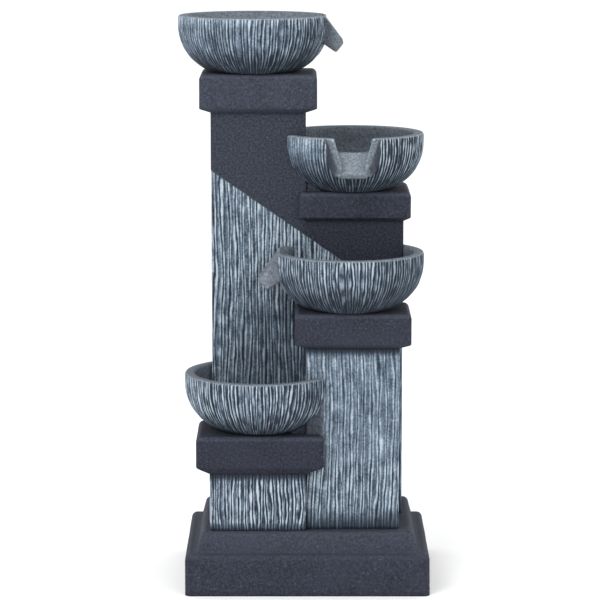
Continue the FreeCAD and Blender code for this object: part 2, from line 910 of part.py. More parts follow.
def make_pump_volute():
    body = new_pump_body("PumpVolute")
    block = drawing_on(body, "XY_Plane")
    pump_rectangle(block)
    pad(body, block, size.volute_length)
    round_edges(body, size.pump_edge_radius, pump_corner)
    spigot = drawing_on(body, "XZ_Plane", size.volute_chamber_radius)
    circle(spigot, 0, size.volute_length / 2, size.outlet_radius)
    pad(body, spigot, half_pump_height - size.volute_chamber_radius + size.outlet_height)
    boss = drawing_on(body, "XY_Plane", size.volute_length)
    circle(boss, 0, 0, size.bush_radius + size.volute_boss_wall)
    pad(body, boss, boss_height)
    chamber = drawing_on(body, "XY_Plane")
    circle(chamber, 0, 0, size.volute_chamber_radius)
    pocket(body, chamber, chamber_depth, reverse=True)
    outlet = drawing_on(body, "XZ_Plane")
    circle(outlet, 0, size.volute_length / 2, size.outlet_bore_radius)
    pocket(body, outlet, reverse=True)
    seat = drawing_on(body, "XY_Plane")
    circle(seat, 0, 0, size.bush_radius)
    pocket(body, seat, reverse=True)
    inlet = drawing_on(body, "XY_Plane")
    circle(inlet, size.inlet_pitch_radius, 0, size.inlet_hole_radius)
    ring_of(body, pocket(body, inlet, reverse=True), INLET_HOLES)
    return finished(body, "pump_volute")


def make_pump_strainer():
    """The slotted inlet cover, with round windows and the pin that the flow dial turns on."""
    body = new_pump_body("PumpStrainer")
    face = size.volute_length + size.strainer_length
    block = drawing_on(body, "XY_Plane", size.volute_length)
    pump_rectangle(block)
    pad(body, block, size.strainer_length)
    round_edges(body, size.pump_edge_radius, pump_corner)
    room = drawing_on(body, "XY_Plane", size.volute_length)
    pump_rectangle(room, size.strainer_wall)
    pocket(body, room, size.strainer_length - size.strainer_wall, reverse=True)
    pin = drawing_on(body, "XY_Plane", face)
    circle(pin, 0, 0, size.dial_pin_radius)
    pin_length = size.dial_thickness + 2 * size.dial_face_gap
    pad(body, pin, pin_length)
    head = drawing_on(body, "XY_Plane", face + pin_length)
    circle(head, 0, 0, size.dial_pin_head_radius)
    pad(body, head, size.dial_pin_head_height)
    slot = drawing_on(body, "YZ_Plane")
    half_slot = size.strainer_slot_length / 2
    first_slot = size.volute_length + size.strainer_slot_pitch - size.strainer_slot_width
    rectangle(slot, -half_slot, half_slot, first_slot, first_slot + size.strainer_slot_width)
    cut = pocket(body, slot, symmetric=True)
    row_of(body, cut, STRAINER_SLOTS, "Z_Axis", (STRAINER_SLOTS - 1) * size.strainer_slot_pitch)
    window = drawing_on(body, "XY_Plane", face)
    circle(window, size.dial_window_pitch, 0, size.dial_window_radius)
    ring_of(body, pocket(body, window, size.strainer_wall), DIAL_WINDOWS)
    return finished(body, "pump_strainer")


def make_flow_dial():
    """A disc whose windows match the strainer's, with a tab to turn it by."""
    body = new_pump_body("FlowDial")
    back = size.volute_length + size.strainer_length + size.dial_face_gap
    disc = drawing_on(body, "XY_Plane", back)
    circle(disc, 0, 0, size.dial_radius)
    circle(disc, 0, 0, size.dial_pin_radius + size.running_clearance)
    pad(body, disc, size.dial_thickness)
    tab = drawing_on(body, "XY_Plane", back)
    tab_root = size.dial_window_pitch + size.dial_window_radius
    tab_end = size.dial_radius + size.dial_tab_reach
    half_tab = size.dial_tab_width / 2
    rectangle(tab, -half_tab, half_tab, -tab_end, -tab_root)
    pad(body, tab, size.dial_thickness + size.dial_tab_height)
    window = drawing_on(body, "XY_Plane", back + size.dial_thickness)
    circle(window, size.dial_window_pitch, 0, size.dial_window_radius)
    ring_of(body, pocket(body, window, size.dial_thickness), DIAL_WINDOWS)
    return finished(body, "flow_dial")


def make_impeller():
    """A magnet rotor in the motor's well, with a bladed disc in the chamber."""
    body = new_pump_body("Impeller")
    rotor = drawing_on(body, "XY_Plane", -size.rotor_end_gap)
    circle(rotor, 0, 0, size.rotor_radius)
    pad(body, rotor, size.rotor_length, reverse=True)
    disc_back = size.rotor_end_gap
    disc_front = disc_back + size.impeller_disc
    hub = drawing_on(body, "XY_Plane", -size.rotor_end_gap)
    circle(hub, 0, 0, size.impeller_hub_radius)
    pad(body, hub, size.rotor_end_gap + disc_front + size.blade_height)
    disc = drawing_on(body, "XY_Plane", disc_back)
    circle(disc, 0, 0, size.impeller_radius)
    pad(body, disc, size.impeller_disc)
    blade = drawing_on(body, "XY_Plane", disc_front)
    half_blade = size.blade_thickness / 2
    blade_end = size.impeller_radius - half_blade
    rectangle(blade, size.impeller_hub_radius - half_blade, blade_end, -half_blade, half_blade)
    ring_of(body, pad(body, blade, size.blade_height), IMPELLER_BLADES)
    bore = drawing_on(body, "XY_Plane")
    circle(bore, 0, 0, size.shaft_radius + size.running_clearance)
    pocket(body, bore, symmetric=True)
    return finished(body, "impeller")


def make_impeller_shaft():
    shaft = document.addObject("Part::Cylinder", "ImpellerShaft")
    bind(shaft, {"Radius": size.shaft_radius, "Height": shaft_end - shaft_start})
    place(shaft, pump_x, pump_joint_y + shaft_start, pump_axis_z, axis="Y")
    return finished(shaft, "impeller_shaft")


def make_shaft_bushes():
    """Two rubber rings, one at the bottom of the rotor's well and one in the chamber's front."""
    inner = size.shaft_radius + size.running_clearance
    outer = size.bush_radius - size.running_clearance
    profile = [(inner, 0), (outer, 0), (outer, size.bush_length), (inner, size.bush_length)]
    pair = document.addObject("Part::Compound", "ShaftBushes")
    pair.Links = [
        revolved("Bush", profile, pump_x, pump_joint_y + start, pump_axis_z, axis="Y")
        for start in (shaft_start, shaft_end - size.bush_length)
    ]
    return finished(pair, "shaft_bushes")


def make_suction_feet():
    feet = []
    for across in (-1, 1):
        for along in (size.foot_inset, size.motor_length - size.foot_inset):
            foot = document.addObject("Part::Cone", "Foot")
            bind(foot, {
                "Radius1": size.foot_radius,
                "Radius2": size.foot_stem_radius,
                "Height": size.foot_height,
            })
            foot_x = pump_x + across * (half_pump_width - size.foot_inset)
            place(foot, foot_x, pump_joint_y - along, plate_top)
            feet.append(foot)
    group = document.addObject("Part::Compound", "SuctionFeet")
    group.Links = feet
    return finished(group, "suction_feet")


# Plumbing: a fitting through a bowl's floor with its washer and nut, and the tube below it

def make_fitting(label, storey, flange, bore, tail, nozzle):
    """A turned fitting: flange on a washer, threaded stem through the bowl, tail for the tube."""
    stem = storey.stem_radius
    flange_under = size.washer_thickness
    flange_top = flange_under + size.fitting_flange_thickness
    stem_end = -size.bowl_floor - size.fitting_thread_length
    tail_end = stem_end - size.fitting_tail_length
    upper = [(flange, flange_top)]
    if nozzle is not None:
        upper += [(nozzle, flange_top), (nozzle, flange_top + size.riser_nozzle_height)]
    profile = [
        (bore, tail_end), (tail, tail_end), (tail, stem_end), (stem, stem_end),
        (stem, flange_under), (flange, flange_under), *upper, (bore, upper[-1][1]),
    ]
    floor = storey.cap_top + size.bowl_floor
    return finished(revolved(label, profile, storey.x, storey.y, floor), label)


def make_washer(label, storey, flange):
    inner = storey.stem_radius + size.fitting_hole_clearance
    thickness = size.washer_thickness
    profile = [(inner, 0), (flange, 0), (flange, thickness), (inner, thickness)]
    floor = storey.cap_top + size.bowl_floor
    return finished(revolved(label, profile, storey.x, storey.y, floor), label)


def make_nut(label, storey):
    """A hexagon nut drawn up against the underside of the bowl."""
    body = new_body(label, storey.x, storey.y, storey.cap_top)
    plan = drawing_on(body, "XY_Plane")
    reach = nut_reach(storey.stem_radius)
    corners = [2 * math.pi * (number + 0.5) / NUT_SIDES for number in range(NUT_SIDES)]
    outline(plan, [(reach * math.cos(angle), reach * math.sin(angle)) for angle in corners])
    circle(plan, 0, 0, storey.stem_radius + size.nut_clearance)
    pad(body, plan, size.nut_thickness, reverse=True)
    return finished(body, label)


def make_tube(label, storey, bore, low, high):
    outer = bore + size.tube_wall
    profile = [(bore, 0), (outer, 0), (outer, high - low), (bore, high - low)]
    return finished(revolved(label, profile, storey.x, storey.y, low), label)


def make_clamp(label, storey, tube_bore, low):
    """A band round the tube's end with its screw housing on one side."""
    inner = tube_bore + size.tube_wall + size.running_clearance
    outer = inner + size.clamp_thickness
    width = size.clamp_width
    profile = [(inner, 0), (outer, 0), (outer, width), (inner, width)]
    body = revolved(label, profile, storey.x, storey.y, low)
    housing = drawing_on(body, "XY_Plane")
    half_screw = size.clamp_screw_length / 2
    inner_face = outer - size.clamp_thickness / 2
    rectangle(housing, -half_screw, half_screw, inner_face, inner_face + size.clamp_screw_height)
    pad(body, housing, width)
    return finished(body, label)


def make_leaf_strainer():
    """A slotted dome that stands on the drain's flange, with a short spigot in its bore."""
    spigot = size.drain_bore_radius - size.leaf_spigot_clearance
    throat = spigot - size.leaf_spigot_wall
    wall = size.leaf_dome_wall
    rim = size.leaf_dome_radius
    base = size.leaf_dome_base
    crown = size.leaf_dome_height
    profile = [
        (throat, -size.leaf_spigot_length), (spigot, -size.leaf_spigot_length), (spigot, 0), (rim, 0),
        (rim, base, arc_radius(crown - base, rim), 1), (0, crown),
        (0, crown - wall, arc_radius(crown - wall - base, rim - wall), -1), (rim - wall, base),
        (rim - wall, wall), (throat, wall),
    ]
    flange_top = size.bowl_floor + size.washer_thickness + size.fitting_flange_thickness
    body = revolved("LeafStrainer", profile, lowest.x, lowest.y, lowest.cap_top + flange_top)
    slot = drawing_on(body, "XY_Plane", wall)
    half_slot = size.leaf_slot_width / 2
    rectangle(slot, throat - wall, rim - wall, -half_slot, half_slot)
    ring_of(body, pocket(body, slot, crown, reverse=True), LEAF_SLOTS)
    return finished(body, "leaf_strainer")


make_plinth()
make_base_plate()
make_tall_column()
make_rear_right_column()
finished(make_column(third), "front_right_column")
finished(make_column(lowest), "front_left_column")
for storey_here in (top, second, third, lowest):
    make_cap(storey_here)
    make_bowl(storey_here)
make_access_door()
make_cord_grommet()
make_drain_plug()
make_pump_body()
make_pump_volute()
make_pump_strainer()
make_flow_dial()
make_impeller()
make_impeller_shaft()
make_shaft_bushes()
make_suction_feet()

stem_drop = size.bowl_floor + size.fitting_thread_length
riser_stem_end = top.cap_top + size.bowl_floor - stem_drop
drain_stem_end = lowest.cap_top + size.bowl_floor - stem_drop
riser_bore = size.outlet_radius + size.tube_fit
drain_bore = size.drain_tail_radius + size.tube_fit
riser_low = pump_axis_z + half_pump_height + size.tube_end_gap
riser_high = riser_stem_end - size.tube_end_gap
drain_high = drain_stem_end - size.tube_end_gap
drain_low = plate_top + size.drain_tube_floor_gap

make_fitting("riser_fitting", top, size.riser_flange_radius, size.riser_bore_radius, size.outlet_radius,
             size.riser_nozzle_radius)
make_washer("riser_washer", top, size.riser_flange_radius)
make_nut("riser_nut", top)
make_tube("riser_tube", top, riser_bore, riser_low, riser_high)
make_clamp("lower_hose_clamp", top, riser_bore, riser_low + size.clamp_end_offset)
make_clamp("upper_hose_clamp", top, riser_bore, riser_high - size.clamp_end_offset - size.clamp_width)
make_fitting("drain_fitting", lowest, size.drain_flange_radius, size.drain_bore_radius,
             size.drain_tail_radius, None)
make_washer("drain_washer", lowest, size.drain_flange_radius)
make_nut("drain_nut", lowest)
make_tube("drain_tube", lowest, drain_bore, drain_low, drain_high)
make_clamp("drain_hose_clamp", lowest, drain_bore, drain_high - size.clamp_end_offset - size.clamp_width)
make_leaf_strainer()

document.recompute()
faults = [item.Label for item in document.Objects if {"Invalid", "Error"} & set(item.State)]
for part in sub_parts:
    if part.Shape.isNull() or not part.Shape.isValid() or not part.Shape.Solids:
        faults.append(part.Label)
if faults:
    raise RuntimeError(f"These did not build: {faults}")

os.makedirs("parts", exist_ok=True)
for part in sub_parts:
    part.Shape.exportStep(f"parts/{part.Label}.step")
    print(f"{part.Label}: {len(part.Shape.Solids)} solid, {part.Shape.Volume / 1000:.2f} cm3")
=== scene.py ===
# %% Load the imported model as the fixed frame
import json
import math

import bmesh
import bpy
from mathutils import Matrix, Vector, noise


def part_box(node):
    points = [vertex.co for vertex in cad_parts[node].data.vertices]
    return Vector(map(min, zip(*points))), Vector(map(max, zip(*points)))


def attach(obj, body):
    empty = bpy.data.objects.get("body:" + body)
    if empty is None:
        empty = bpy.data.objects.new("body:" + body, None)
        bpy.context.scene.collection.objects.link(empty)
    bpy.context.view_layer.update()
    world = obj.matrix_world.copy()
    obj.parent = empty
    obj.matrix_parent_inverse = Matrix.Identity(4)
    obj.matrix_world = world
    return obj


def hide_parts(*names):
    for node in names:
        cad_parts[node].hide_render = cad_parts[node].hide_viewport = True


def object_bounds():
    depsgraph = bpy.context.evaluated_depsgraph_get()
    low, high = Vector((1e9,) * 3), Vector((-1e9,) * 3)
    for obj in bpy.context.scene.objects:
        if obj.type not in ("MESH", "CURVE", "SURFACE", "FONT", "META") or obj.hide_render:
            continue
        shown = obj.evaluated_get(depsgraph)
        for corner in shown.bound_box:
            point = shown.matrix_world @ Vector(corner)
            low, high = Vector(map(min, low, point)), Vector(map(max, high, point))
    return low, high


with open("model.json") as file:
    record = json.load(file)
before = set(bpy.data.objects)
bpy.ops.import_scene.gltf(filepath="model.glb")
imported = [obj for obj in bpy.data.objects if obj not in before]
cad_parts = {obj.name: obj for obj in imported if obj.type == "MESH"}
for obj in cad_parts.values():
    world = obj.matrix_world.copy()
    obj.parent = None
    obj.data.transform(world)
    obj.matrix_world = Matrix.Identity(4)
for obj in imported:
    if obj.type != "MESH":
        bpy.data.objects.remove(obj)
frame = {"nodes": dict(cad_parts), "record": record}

# %% [markdown]
# # A cascading bowl fountain
# The fountain is cast resin: four hollow columns on a stepped plinth, each with a cap and a round
# bowl. The solids give every piece its size and place. What they leave out is the sculptor's work,
# the carved grooves, the softened edges and the paint, and that is what this lesson adds. Lengths
# in the frame are metres, and the numbers below are millimetres, which `MM` turns to metres.

# %% Units and the box of the solids
MM = 0.001
cad_low, cad_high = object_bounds()
print("solids fill", [round(side / MM, 1) for side in cad_high - cad_low], "mm")

# %% [markdown]
# ## Tools for colour and nodes
# Paint is matched on a screen, so its colours are written as sRGB hex values. A shader
# works in linear light, so one function converts them. A second function adds one node with its
# settings and its links, which keeps each material below readable as a list of steps.


# %% Colour and node helpers
def linear(hex_colour):
    """Turn an sRGB hex value such as 44474f into linear red, green, blue and alpha."""
    channels = [int(hex_colour[start:start + 2], 16) / 255 for start in (0, 2, 4)]
    lit = [c / 12.92 if c <= 0.04045 else ((c + 0.055) / 1.055) ** 2.4 for c in channels]
    return (*lit, 1.0)


def add_node(tree, kind, inputs=None, **settings):
    """Add a node, set its properties, and give each named input a value or a link."""
    node = tree.nodes.new(kind)
    for name, value in settings.items():
        setattr(node, name, value)
    for name, source in (inputs or {}).items():
        if isinstance(source, bpy.types.NodeSocket):
            tree.links.new(source, node.inputs[name])
        else:
            node.inputs[name].default_value = source
    return node


def new_finish(name):
    """An empty material, its node tree, and the Object coordinates that its patterns read."""
    material = bpy.data.materials.new(name)
    material.use_nodes = True
    material.node_tree.nodes.clear()
    coordinates = add_node(material.node_tree, "ShaderNodeTexCoord")
    return material, material.node_tree, coordinates.outputs["Object"]


def per_metre(size_mm):
    """The scale of a noise whose blotches are about this many millimetres across."""
    return 1 / (size_mm * MM)


print("hex 808080 in linear light:", round(linear("808080")[0], 3))

# %% [markdown]
# ## Sand in the resin
# All the stonework is polyester resin with a fine stone filler. The filler makes a sandy surface,
# whose grains catch the light one by one: dark pits, mid tones and a few pale specks. Matt paint
# on filler scatters nearly all of its light, so roughness is high, the gloss is turned down and
# there is no coat. Two finishes share this sand and this skin, so each is written once.

# %% Sand and skin of the resin
# Real grit is finer than a pixel of the picture, so it is drawn in clumps of this size.
GRAIN = 3.4
GRIT_RELIEF = 0.8
SAND = [(0.36, "11131d"), (0.64, "2f3341")]
SPECK = "565d6e"
MATT = 0.3
RESIN_IOR = 1.5


def resin_sand(tree, place):
    """Height of the grains, their colour from pit to top, and where a pale speck sits."""
    grain = add_node(tree, "ShaderNodeTexNoise",
                     {"Vector": place, "Scale": per_metre(GRAIN), "Detail": 4.0, "Roughness": 0.75})
    sand = add_node(tree, "ShaderNodeValToRGB", {"Fac": grain.outputs["Fac"]})
    for element, (position, colour) in zip(sand.color_ramp.elements, SAND):
        element.position = position
        element.color = linear(colour)
    speck = add_node(tree, "ShaderNodeMapRange",
                     {"Value": grain.outputs["Fac"], "From Min": 0.62, "From Max": 0.76})
    return grain.outputs["Fac"], sand.outputs["Color"], speck.outputs["Result"]


def resin_skin(tree, colour, grain, roughness):
    """Put a colour on the resin, matt and with the relief of the grains."""
    grit = add_node(tree, "ShaderNodeBump",
                    {"Height": grain, "Strength": 0.5, "Distance": GRIT_RELIEF * MM})
    skin = add_node(tree, "ShaderNodeBsdfPrincipled",
                    {"Base Color": colour, "Roughness": roughness, "IOR": RESIN_IOR,
                     "Specular IOR Level": MATT, "Normal": grit.outputs["Normal"]})
    add_node(tree, "ShaderNodeOutputMaterial", {"Surface": skin.outputs["BSDF"]})


print("sand in clumps of", GRAIN, "mm")

# %% [markdown]
# ## Charcoal resin
# Caps and plinth are painted matt charcoal. Broad faint clouds show where the paint went on
# thinner. Edges that hands and crates rub are paler. Some pieces are paler all over as well, which on
# the caps is painted light, fading from the top cap down. The pieces carry both as one value on their
# points.

# %% Charcoal resin material
CLOUD = 70
charcoal, tree, place = new_finish("charcoal_painted_resin")
grain, sand, speck = resin_sand(tree, place)
cloud = add_node(tree, "ShaderNodeTexNoise",
                 {"Vector": place, "Scale": per_metre(CLOUD), "Detail": 4.0, "Roughness": 0.55})
thin = add_node(tree, "ShaderNodeMapRange",
                {"Value": cloud.outputs["Fac"], "From Min": 0.4, "From Max": 0.75, "To Max": 0.5})
clouded = add_node(tree, "ShaderNodeMix",
                   {"Factor": thin.outputs["Result"], "A": sand, "B": linear("2c2f3c")},
                   data_type="RGBA")
sandy = add_node(tree, "ShaderNodeMix",
                 {"Factor": speck, "A": clouded.outputs["Result"], "B": linear(SPECK)},
                 data_type="RGBA")
wear_and_light = add_node(tree, "ShaderNodeAttribute", attribute_name="wear_and_light")
patchy = add_node(tree, "ShaderNodeMath", {0: wear_and_light.outputs["Fac"], 1: grain},
                  operation="MULTIPLY")
# Paler where an edge is rubbed, and on the upper caps paler all over as painted light.
worn_and_lit = add_node(tree, "ShaderNodeMix",
                {"Factor": patchy.outputs["Value"], "A": sandy.outputs["Result"],
                 "B": linear("5c6371")}, data_type="RGBA")
resin_skin(tree, worn_and_lit.outputs["Result"], grain, roughness=0.86)
print("made", charcoal.name)

# %% [markdown]
# ## Dry-brushed resin
# Columns and bowls have the same charcoal coat, and over it pale blue-grey paint from a nearly dry
# brush, which touches only what stands proud. Each carved piece carries three values on its
# points: `ridge`, from 0 in a groove to 1 on a crest, `carved`, which is 1 on carved skin and 0 on
# smooth skin, and a third, how much pale paint that place got, with painted light and painted shade
# folded into it as well. The finish mixes groove, flank and crest colours by `ridge`, broken up by
# the grain and by the brush strokes. Smooth skin keeps its sandy charcoal, with a pale wash as strong
# as that third value says.

# %% Pale paint on the crests
STROKE = 24
PAINT = [(0.0, "191f28"), (0.2, "313b47"), (0.5, "667584"), (0.88, "acb9c3")]
BROKEN_BY_GRAIN = 0.8
BROKEN_BY_STROKE = 0.5
drybrushed, tree, place = new_finish("drybrushed_painted_resin")
grain, sand, speck = resin_sand(tree, place)
stroke = add_node(tree, "ShaderNodeTexNoise",
                  {"Vector": place, "Scale": per_metre(STROKE), "Detail": 4.0, "Roughness": 0.6})
ridge = add_node(tree, "ShaderNodeAttribute", attribute_name="ridge")
# Pale paint, with painted light and painted shade folded in.
brush_light_and_shade = add_node(tree, "ShaderNodeAttribute", attribute_name="brush_light_and_shade")
broken = add_node(tree, "ShaderNodeMath",
                  {0: grain, 1: BROKEN_BY_GRAIN, 2: ridge.outputs["Fac"]},
                  operation="MULTIPLY_ADD")
touched = add_node(tree, "ShaderNodeMath",
                   {0: stroke.outputs["Fac"], 1: BROKEN_BY_STROKE, 2: broken.outputs["Value"]},
                   operation="MULTIPLY_ADD")
crest = add_node(tree, "ShaderNodeMapRange",
                 {"Value": touched.outputs["Value"], "From Min": 0.68, "From Max": 1.6})
thinned = add_node(tree, "ShaderNodeMath", {0: crest.outputs["Result"], 1: brush_light_and_shade.outputs["Fac"]},
                   operation="MULTIPLY")
paint = add_node(tree, "ShaderNodeValToRGB", {"Fac": thinned.outputs["Value"]})
for position, colour in PAINT[2:]:
    paint.color_ramp.elements.new(position)
for element, (position, colour) in zip(paint.color_ramp.elements, PAINT):
    element.position = position
    element.color = linear(colour)
print("paint has", len(paint.color_ramp.elements), "colours")

# %% Pale wash on the smooth skin
plain = add_node(tree, "ShaderNodeMix", {"Factor": speck, "A": sand, "B": linear(SPECK)},
                 data_type="RGBA")
pale_grain = add_node(tree, "ShaderNodeMapRange",
                      {"Value": grain, "From Min": 0.3, "From Max": 0.7, "To Min": 0.25})
wash = add_node(tree, "ShaderNodeMath", {0: pale_grain.outputs["Result"], 1: brush_light_and_shade.outputs["Fac"]},
                operation="MULTIPLY")
washed = add_node(tree, "ShaderNodeMix",
                  {"Factor": wash.outputs["Value"], "A": plain.outputs["Result"],
                   "B": linear("929da7")}, data_type="RGBA")
carved = add_node(tree, "ShaderNodeAttribute", attribute_name="carved")
coat = add_node(tree, "ShaderNodeMix",
                {"Factor": carved.outputs["Fac"], "A": washed.outputs["Result"],
                 "B": paint.outputs["Color"]}, data_type="RGBA")
resin_skin(tree, coat.outputs["Result"], grain, roughness=0.84)
print("made", drybrushed.name)

# %% [markdown]
# ## Moulded and turned fittings
# The pump, its tube and its fittings sit inside and show only when the door is off. They are
# plain trade parts: black and grey ABS with the fine spark texture of a mould, matt black rubber,
# clear vinyl tube, ground ceramic and rolled stainless band. One loop makes those that differ only
# in colour, gloss and grain. The band has its scratches along its length, and the tube lets light
# through, so these two are made by themselves.

# %% Plastic, rubber and ceramic materials
# A mould's spark texture is finer than a tenth of a millimetre, and is drawn coarser so that it shows.
MOULDED = {
    "black_abs": {"dark": "17181a", "light": "232427", "roughness": 0.42, "ior": 1.53, "grain": 0.9},
    "grey_abs": {"dark": "5f6264", "light": "6d7072", "roughness": 0.45, "ior": 1.53, "grain": 0.9},
    "black_rubber": {"dark": "141415", "light": "1f1f20", "roughness": 0.72, "ior": 1.52, "grain": 1.6},
    "white_ceramic": {"dark": "dcd9d0", "light": "e9e7e0", "roughness": 0.28, "ior": 1.76, "grain": 0.5},
}
SPARK_RELIEF = 0.1
finishes = {"charcoal_resin": charcoal, "drybrushed_resin": drybrushed}
for slot_name, look in MOULDED.items():
    finishes[slot_name], tree, place = new_finish(f"moulded_{slot_name}")
    texture = add_node(tree, "ShaderNodeTexNoise",
                       {"Vector": place, "Scale": per_metre(look["grain"]), "Detail": 2.0})
    tone = add_node(tree, "ShaderNodeMix",
                    {"Factor": texture.outputs["Fac"], "A": linear(look["dark"]),
                     "B": linear(look["light"])}, data_type="RGBA")
    spark = add_node(tree, "ShaderNodeBump",
                     {"Height": texture.outputs["Fac"], "Strength": 0.2, "Distance": SPARK_RELIEF * MM})
    skin = add_node(tree, "ShaderNodeBsdfPrincipled",
                    {"Base Color": tone.outputs["Result"], "Roughness": look["roughness"],
                     "IOR": look["ior"], "Normal": spark.outputs["Normal"]})
    add_node(tree, "ShaderNodeOutputMaterial", {"Surface": skin.outputs["BSDF"]})
print("made", sorted(MOULDED))

# %% Clear vinyl tube
HAZE = 12
finishes["clear_vinyl"], tree, place = new_finish("clear_extruded_vinyl")
haze = add_node(tree, "ShaderNodeTexNoise",
                {"Vector": place, "Scale": per_metre(HAZE), "Detail": 3.0})
cloudy = add_node(tree, "ShaderNodeMapRange",
                  {"Value": haze.outputs["Fac"], "To Min": 0.12, "To Max": 0.3})
tint = add_node(tree, "ShaderNodeMix",
                {"Factor": haze.outputs["Fac"], "A": linear("d3dcdb"), "B": linear("e6ecea")},
                data_type="RGBA")
skin = add_node(tree, "ShaderNodeBsdfPrincipled",
                {"Base Color": tint.outputs["Result"], "Roughness": cloudy.outputs["Result"],
                 "IOR": 1.53, "Transmission Weight": 0.85})
add_node(tree, "ShaderNodeOutputMaterial", {"Surface": skin.outputs["BSDF"]})
print("made", finishes["clear_vinyl"].name)

# %% Stainless band
SCRATCH = 6
SCRATCH_STRETCH = (1, 1, 12)
finishes["stainless_steel"], tree, place = new_finish("rolled_stainless_steel")
along = add_node(tree, "ShaderNodeMapping", {"Vector": place, "Scale": SCRATCH_STRETCH})
scratches = add_node(tree, "ShaderNodeTexNoise",
                     {"Vector": along.outputs["Vector"], "Scale": per_metre(SCRATCH), "Detail": 3.0})
dull = add_node(tree, "ShaderNodeMapRange",
                {"Value": scratches.outputs["Fac"], "To Min": 0.22, "To Max": 0.4})
tone = add_node(tree, "ShaderNodeMix",
                {"Factor": scratches.outputs["Fac"], "A": linear("b4b5b6"), "B": linear("cdced0")},
                data_type="RGBA")
skin = add_node(tree, "ShaderNodeBsdfPrincipled",
                {"Base Color": tone.outputs["Result"], "Roughness": dull.outputs["Result"],
                 "Metallic": 1.0})
add_node(tree, "ShaderNodeOutputMaterial", {"Surface": skin.outputs["BSDF"]})
print("finishes:", sorted(finishes))

# %% [markdown]
# ## Tools for pieces
# Each sculpted piece starts as a simple block or a spun profile. A copy of its solid then trims it
# with a Boolean, so doorways, hollows and notches stay exactly where the solid has them. A solid
# arrives as loose triangles, and a Boolean needs a closed mesh, so the copy is merged first.

# %% Meshes and Booleans
WELD = 0.002 * MM


def mesh_object(name, bm):
    """Turn a bmesh into an object of the scene."""
    mesh = bpy.data.meshes.new(name)
    bm.to_mesh(mesh)
    bm.free()
    made = bpy.data.objects.new(name, mesh)
    bpy.context.scene.collection.objects.link(made)
    return made


def solid_copy(node):
    """A closed copy of a solid, to trim a piece with."""
    bm = bmesh.new()
    bm.from_mesh(frame["nodes"][node].data)
    bmesh.ops.remove_doubles(bm, verts=bm.verts, dist=WELD)
    return mesh_object(f"{node}_solid", bm)


def block(low, high):
    """A bmesh cube between two corners."""
    bm = bmesh.new()
    bmesh.ops.create_cube(bm, size=1)
    bmesh.ops.scale(bm, vec=high - low, verts=bm.verts)
    bmesh.ops.translate(bm, vec=(low + high) / 2, verts=bm.verts)
    return bm


def combine(piece, operation, other):
    """Unite, cut or intersect a piece with another closed mesh, which is used up."""
    modifier = piece.modifiers.new("combine", "BOOLEAN")
    modifier.operation = operation
    modifier.solver = "MANIFOLD"
    modifier.object = other
    shaped = bpy.data.meshes.new_from_object(
        piece.evaluated_get(bpy.context.evaluated_depsgraph_get()))
    piece.modifiers.clear()
    raw = piece.data
    piece.data = shaped
    bpy.data.meshes.remove(raw)
    bpy.data.objects.remove(other)


print("points closer than", round(WELD / MM, 4), "mm are merged")

# %% [markdown]
# ## Finishing a piece
# A Boolean leaves needle-thin faces where two surfaces nearly meet, so each piece is welded before
# it is dressed. Smooth shading with a limit on the angle keeps the curves soft and the corners
# crisp. Then the piece gets its finish, the body that it rides on and the solid that it replaces.

# %% Weld and dress
SOFT_EDGE = math.radians(48)


def drop_slivers(piece):
    """Weld the needle-thin faces that a Boolean leaves, and cut the rest into triangles.

    Two flat neighbours can both cut off the same thin corner between them. Such a pair lies back
    to back with nothing inside, so it is deleted.
    """
    bm = bmesh.new()
    bm.from_mesh(piece.data)
    bmesh.ops.remove_doubles(bm, verts=bm.verts, dist=WELD)
    bmesh.ops.dissolve_degenerate(bm, dist=WELD, edges=bm.edges)
    bmesh.ops.triangulate(bm, faces=bm.faces)
    twins = {}
    for face in bm.faces:
        twins.setdefault(frozenset(face.verts), []).append(face)
    pairs = [face for group in twins.values() if len(group) == 2 for face in group]
    bmesh.ops.delete(bm, geom=pairs, context="FACES")
    bm.to_mesh(piece.data)
    bm.free()
    return len(pairs)


def dress(piece, node, slot_name, body):
    """Finish a piece: smooth shading, its material, its body and the solid that it stands for."""
    slivers = drop_slivers(piece)
    piece.data.shade_smooth()
    piece.data.set_sharp_from_angle(angle=SOFT_EDGE)
    piece.data.materials.clear()
    piece.data.materials.append(finishes[slot_name])
    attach(piece, body)
    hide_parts(node)
    print(piece.name, len(piece.data.polygons), "faces,", slivers, "slivers deleted")


print("edges over", round(math.degrees(SOFT_EDGE)), "degrees stay crisp")

# %% [markdown]
# ## How the grooves run
# The grooves were cut into the master by hand with a gouge, so they are nearly parallel but not
# evenly spaced, tremble a little, and swell and fade along their length. The pattern below works
# in two numbers: how far along the surface a point is, across the grooves, and how high it is.
# Noise bends the first number, and the cosine of what is left makes crests and grooves. A broad
# set of crests and a finer one add up, and every crest has its own strength.

# %% The groove pattern
# Each kind of bend has a size across and along the grooves, and a share of their pitch.
DRIFT = {"across": 60, "along": 210, "share": 1.0, "seed": 0}
UNEVEN = {"across": 9, "along": 90, "share": 0.6, "seed": 20}
TREMBLE = {"across": 4, "along": 18, "share": 0.22, "seed": 30}
STEADIER = 0.5
BROAD = {"seed": 40, "share": 0.66, "gain_when_even": 0.3}
FINE = {"seed": 50, "share": 0.46, "pitch": 0.66}
SWELL = {"apart": 5.17, "along": 20, "mean": 0.72, "spread": 0.55}


def one_set(across, height, pitch, seed):
    """One set of crests, each with its own strength, which swells and fades with height."""
    phase = across / pitch
    crest_number = round(phase)
    spot = Vector((crest_number * SWELL["apart"], height / SWELL["along"], seed))
    wave = 0.5 + 0.5 * math.cos(2 * math.pi * (phase - crest_number))
    return wave * (SWELL["mean"] + SWELL["spread"] * noise.noise(spot))


def bend(across, height, pitch, seed, kind):
    """How far one kind of bend shifts the grooves at a place."""
    spot = Vector((across / kind["across"], height / kind["along"], seed + kind["seed"]))
    return noise.noise(spot) * pitch * kind["share"]


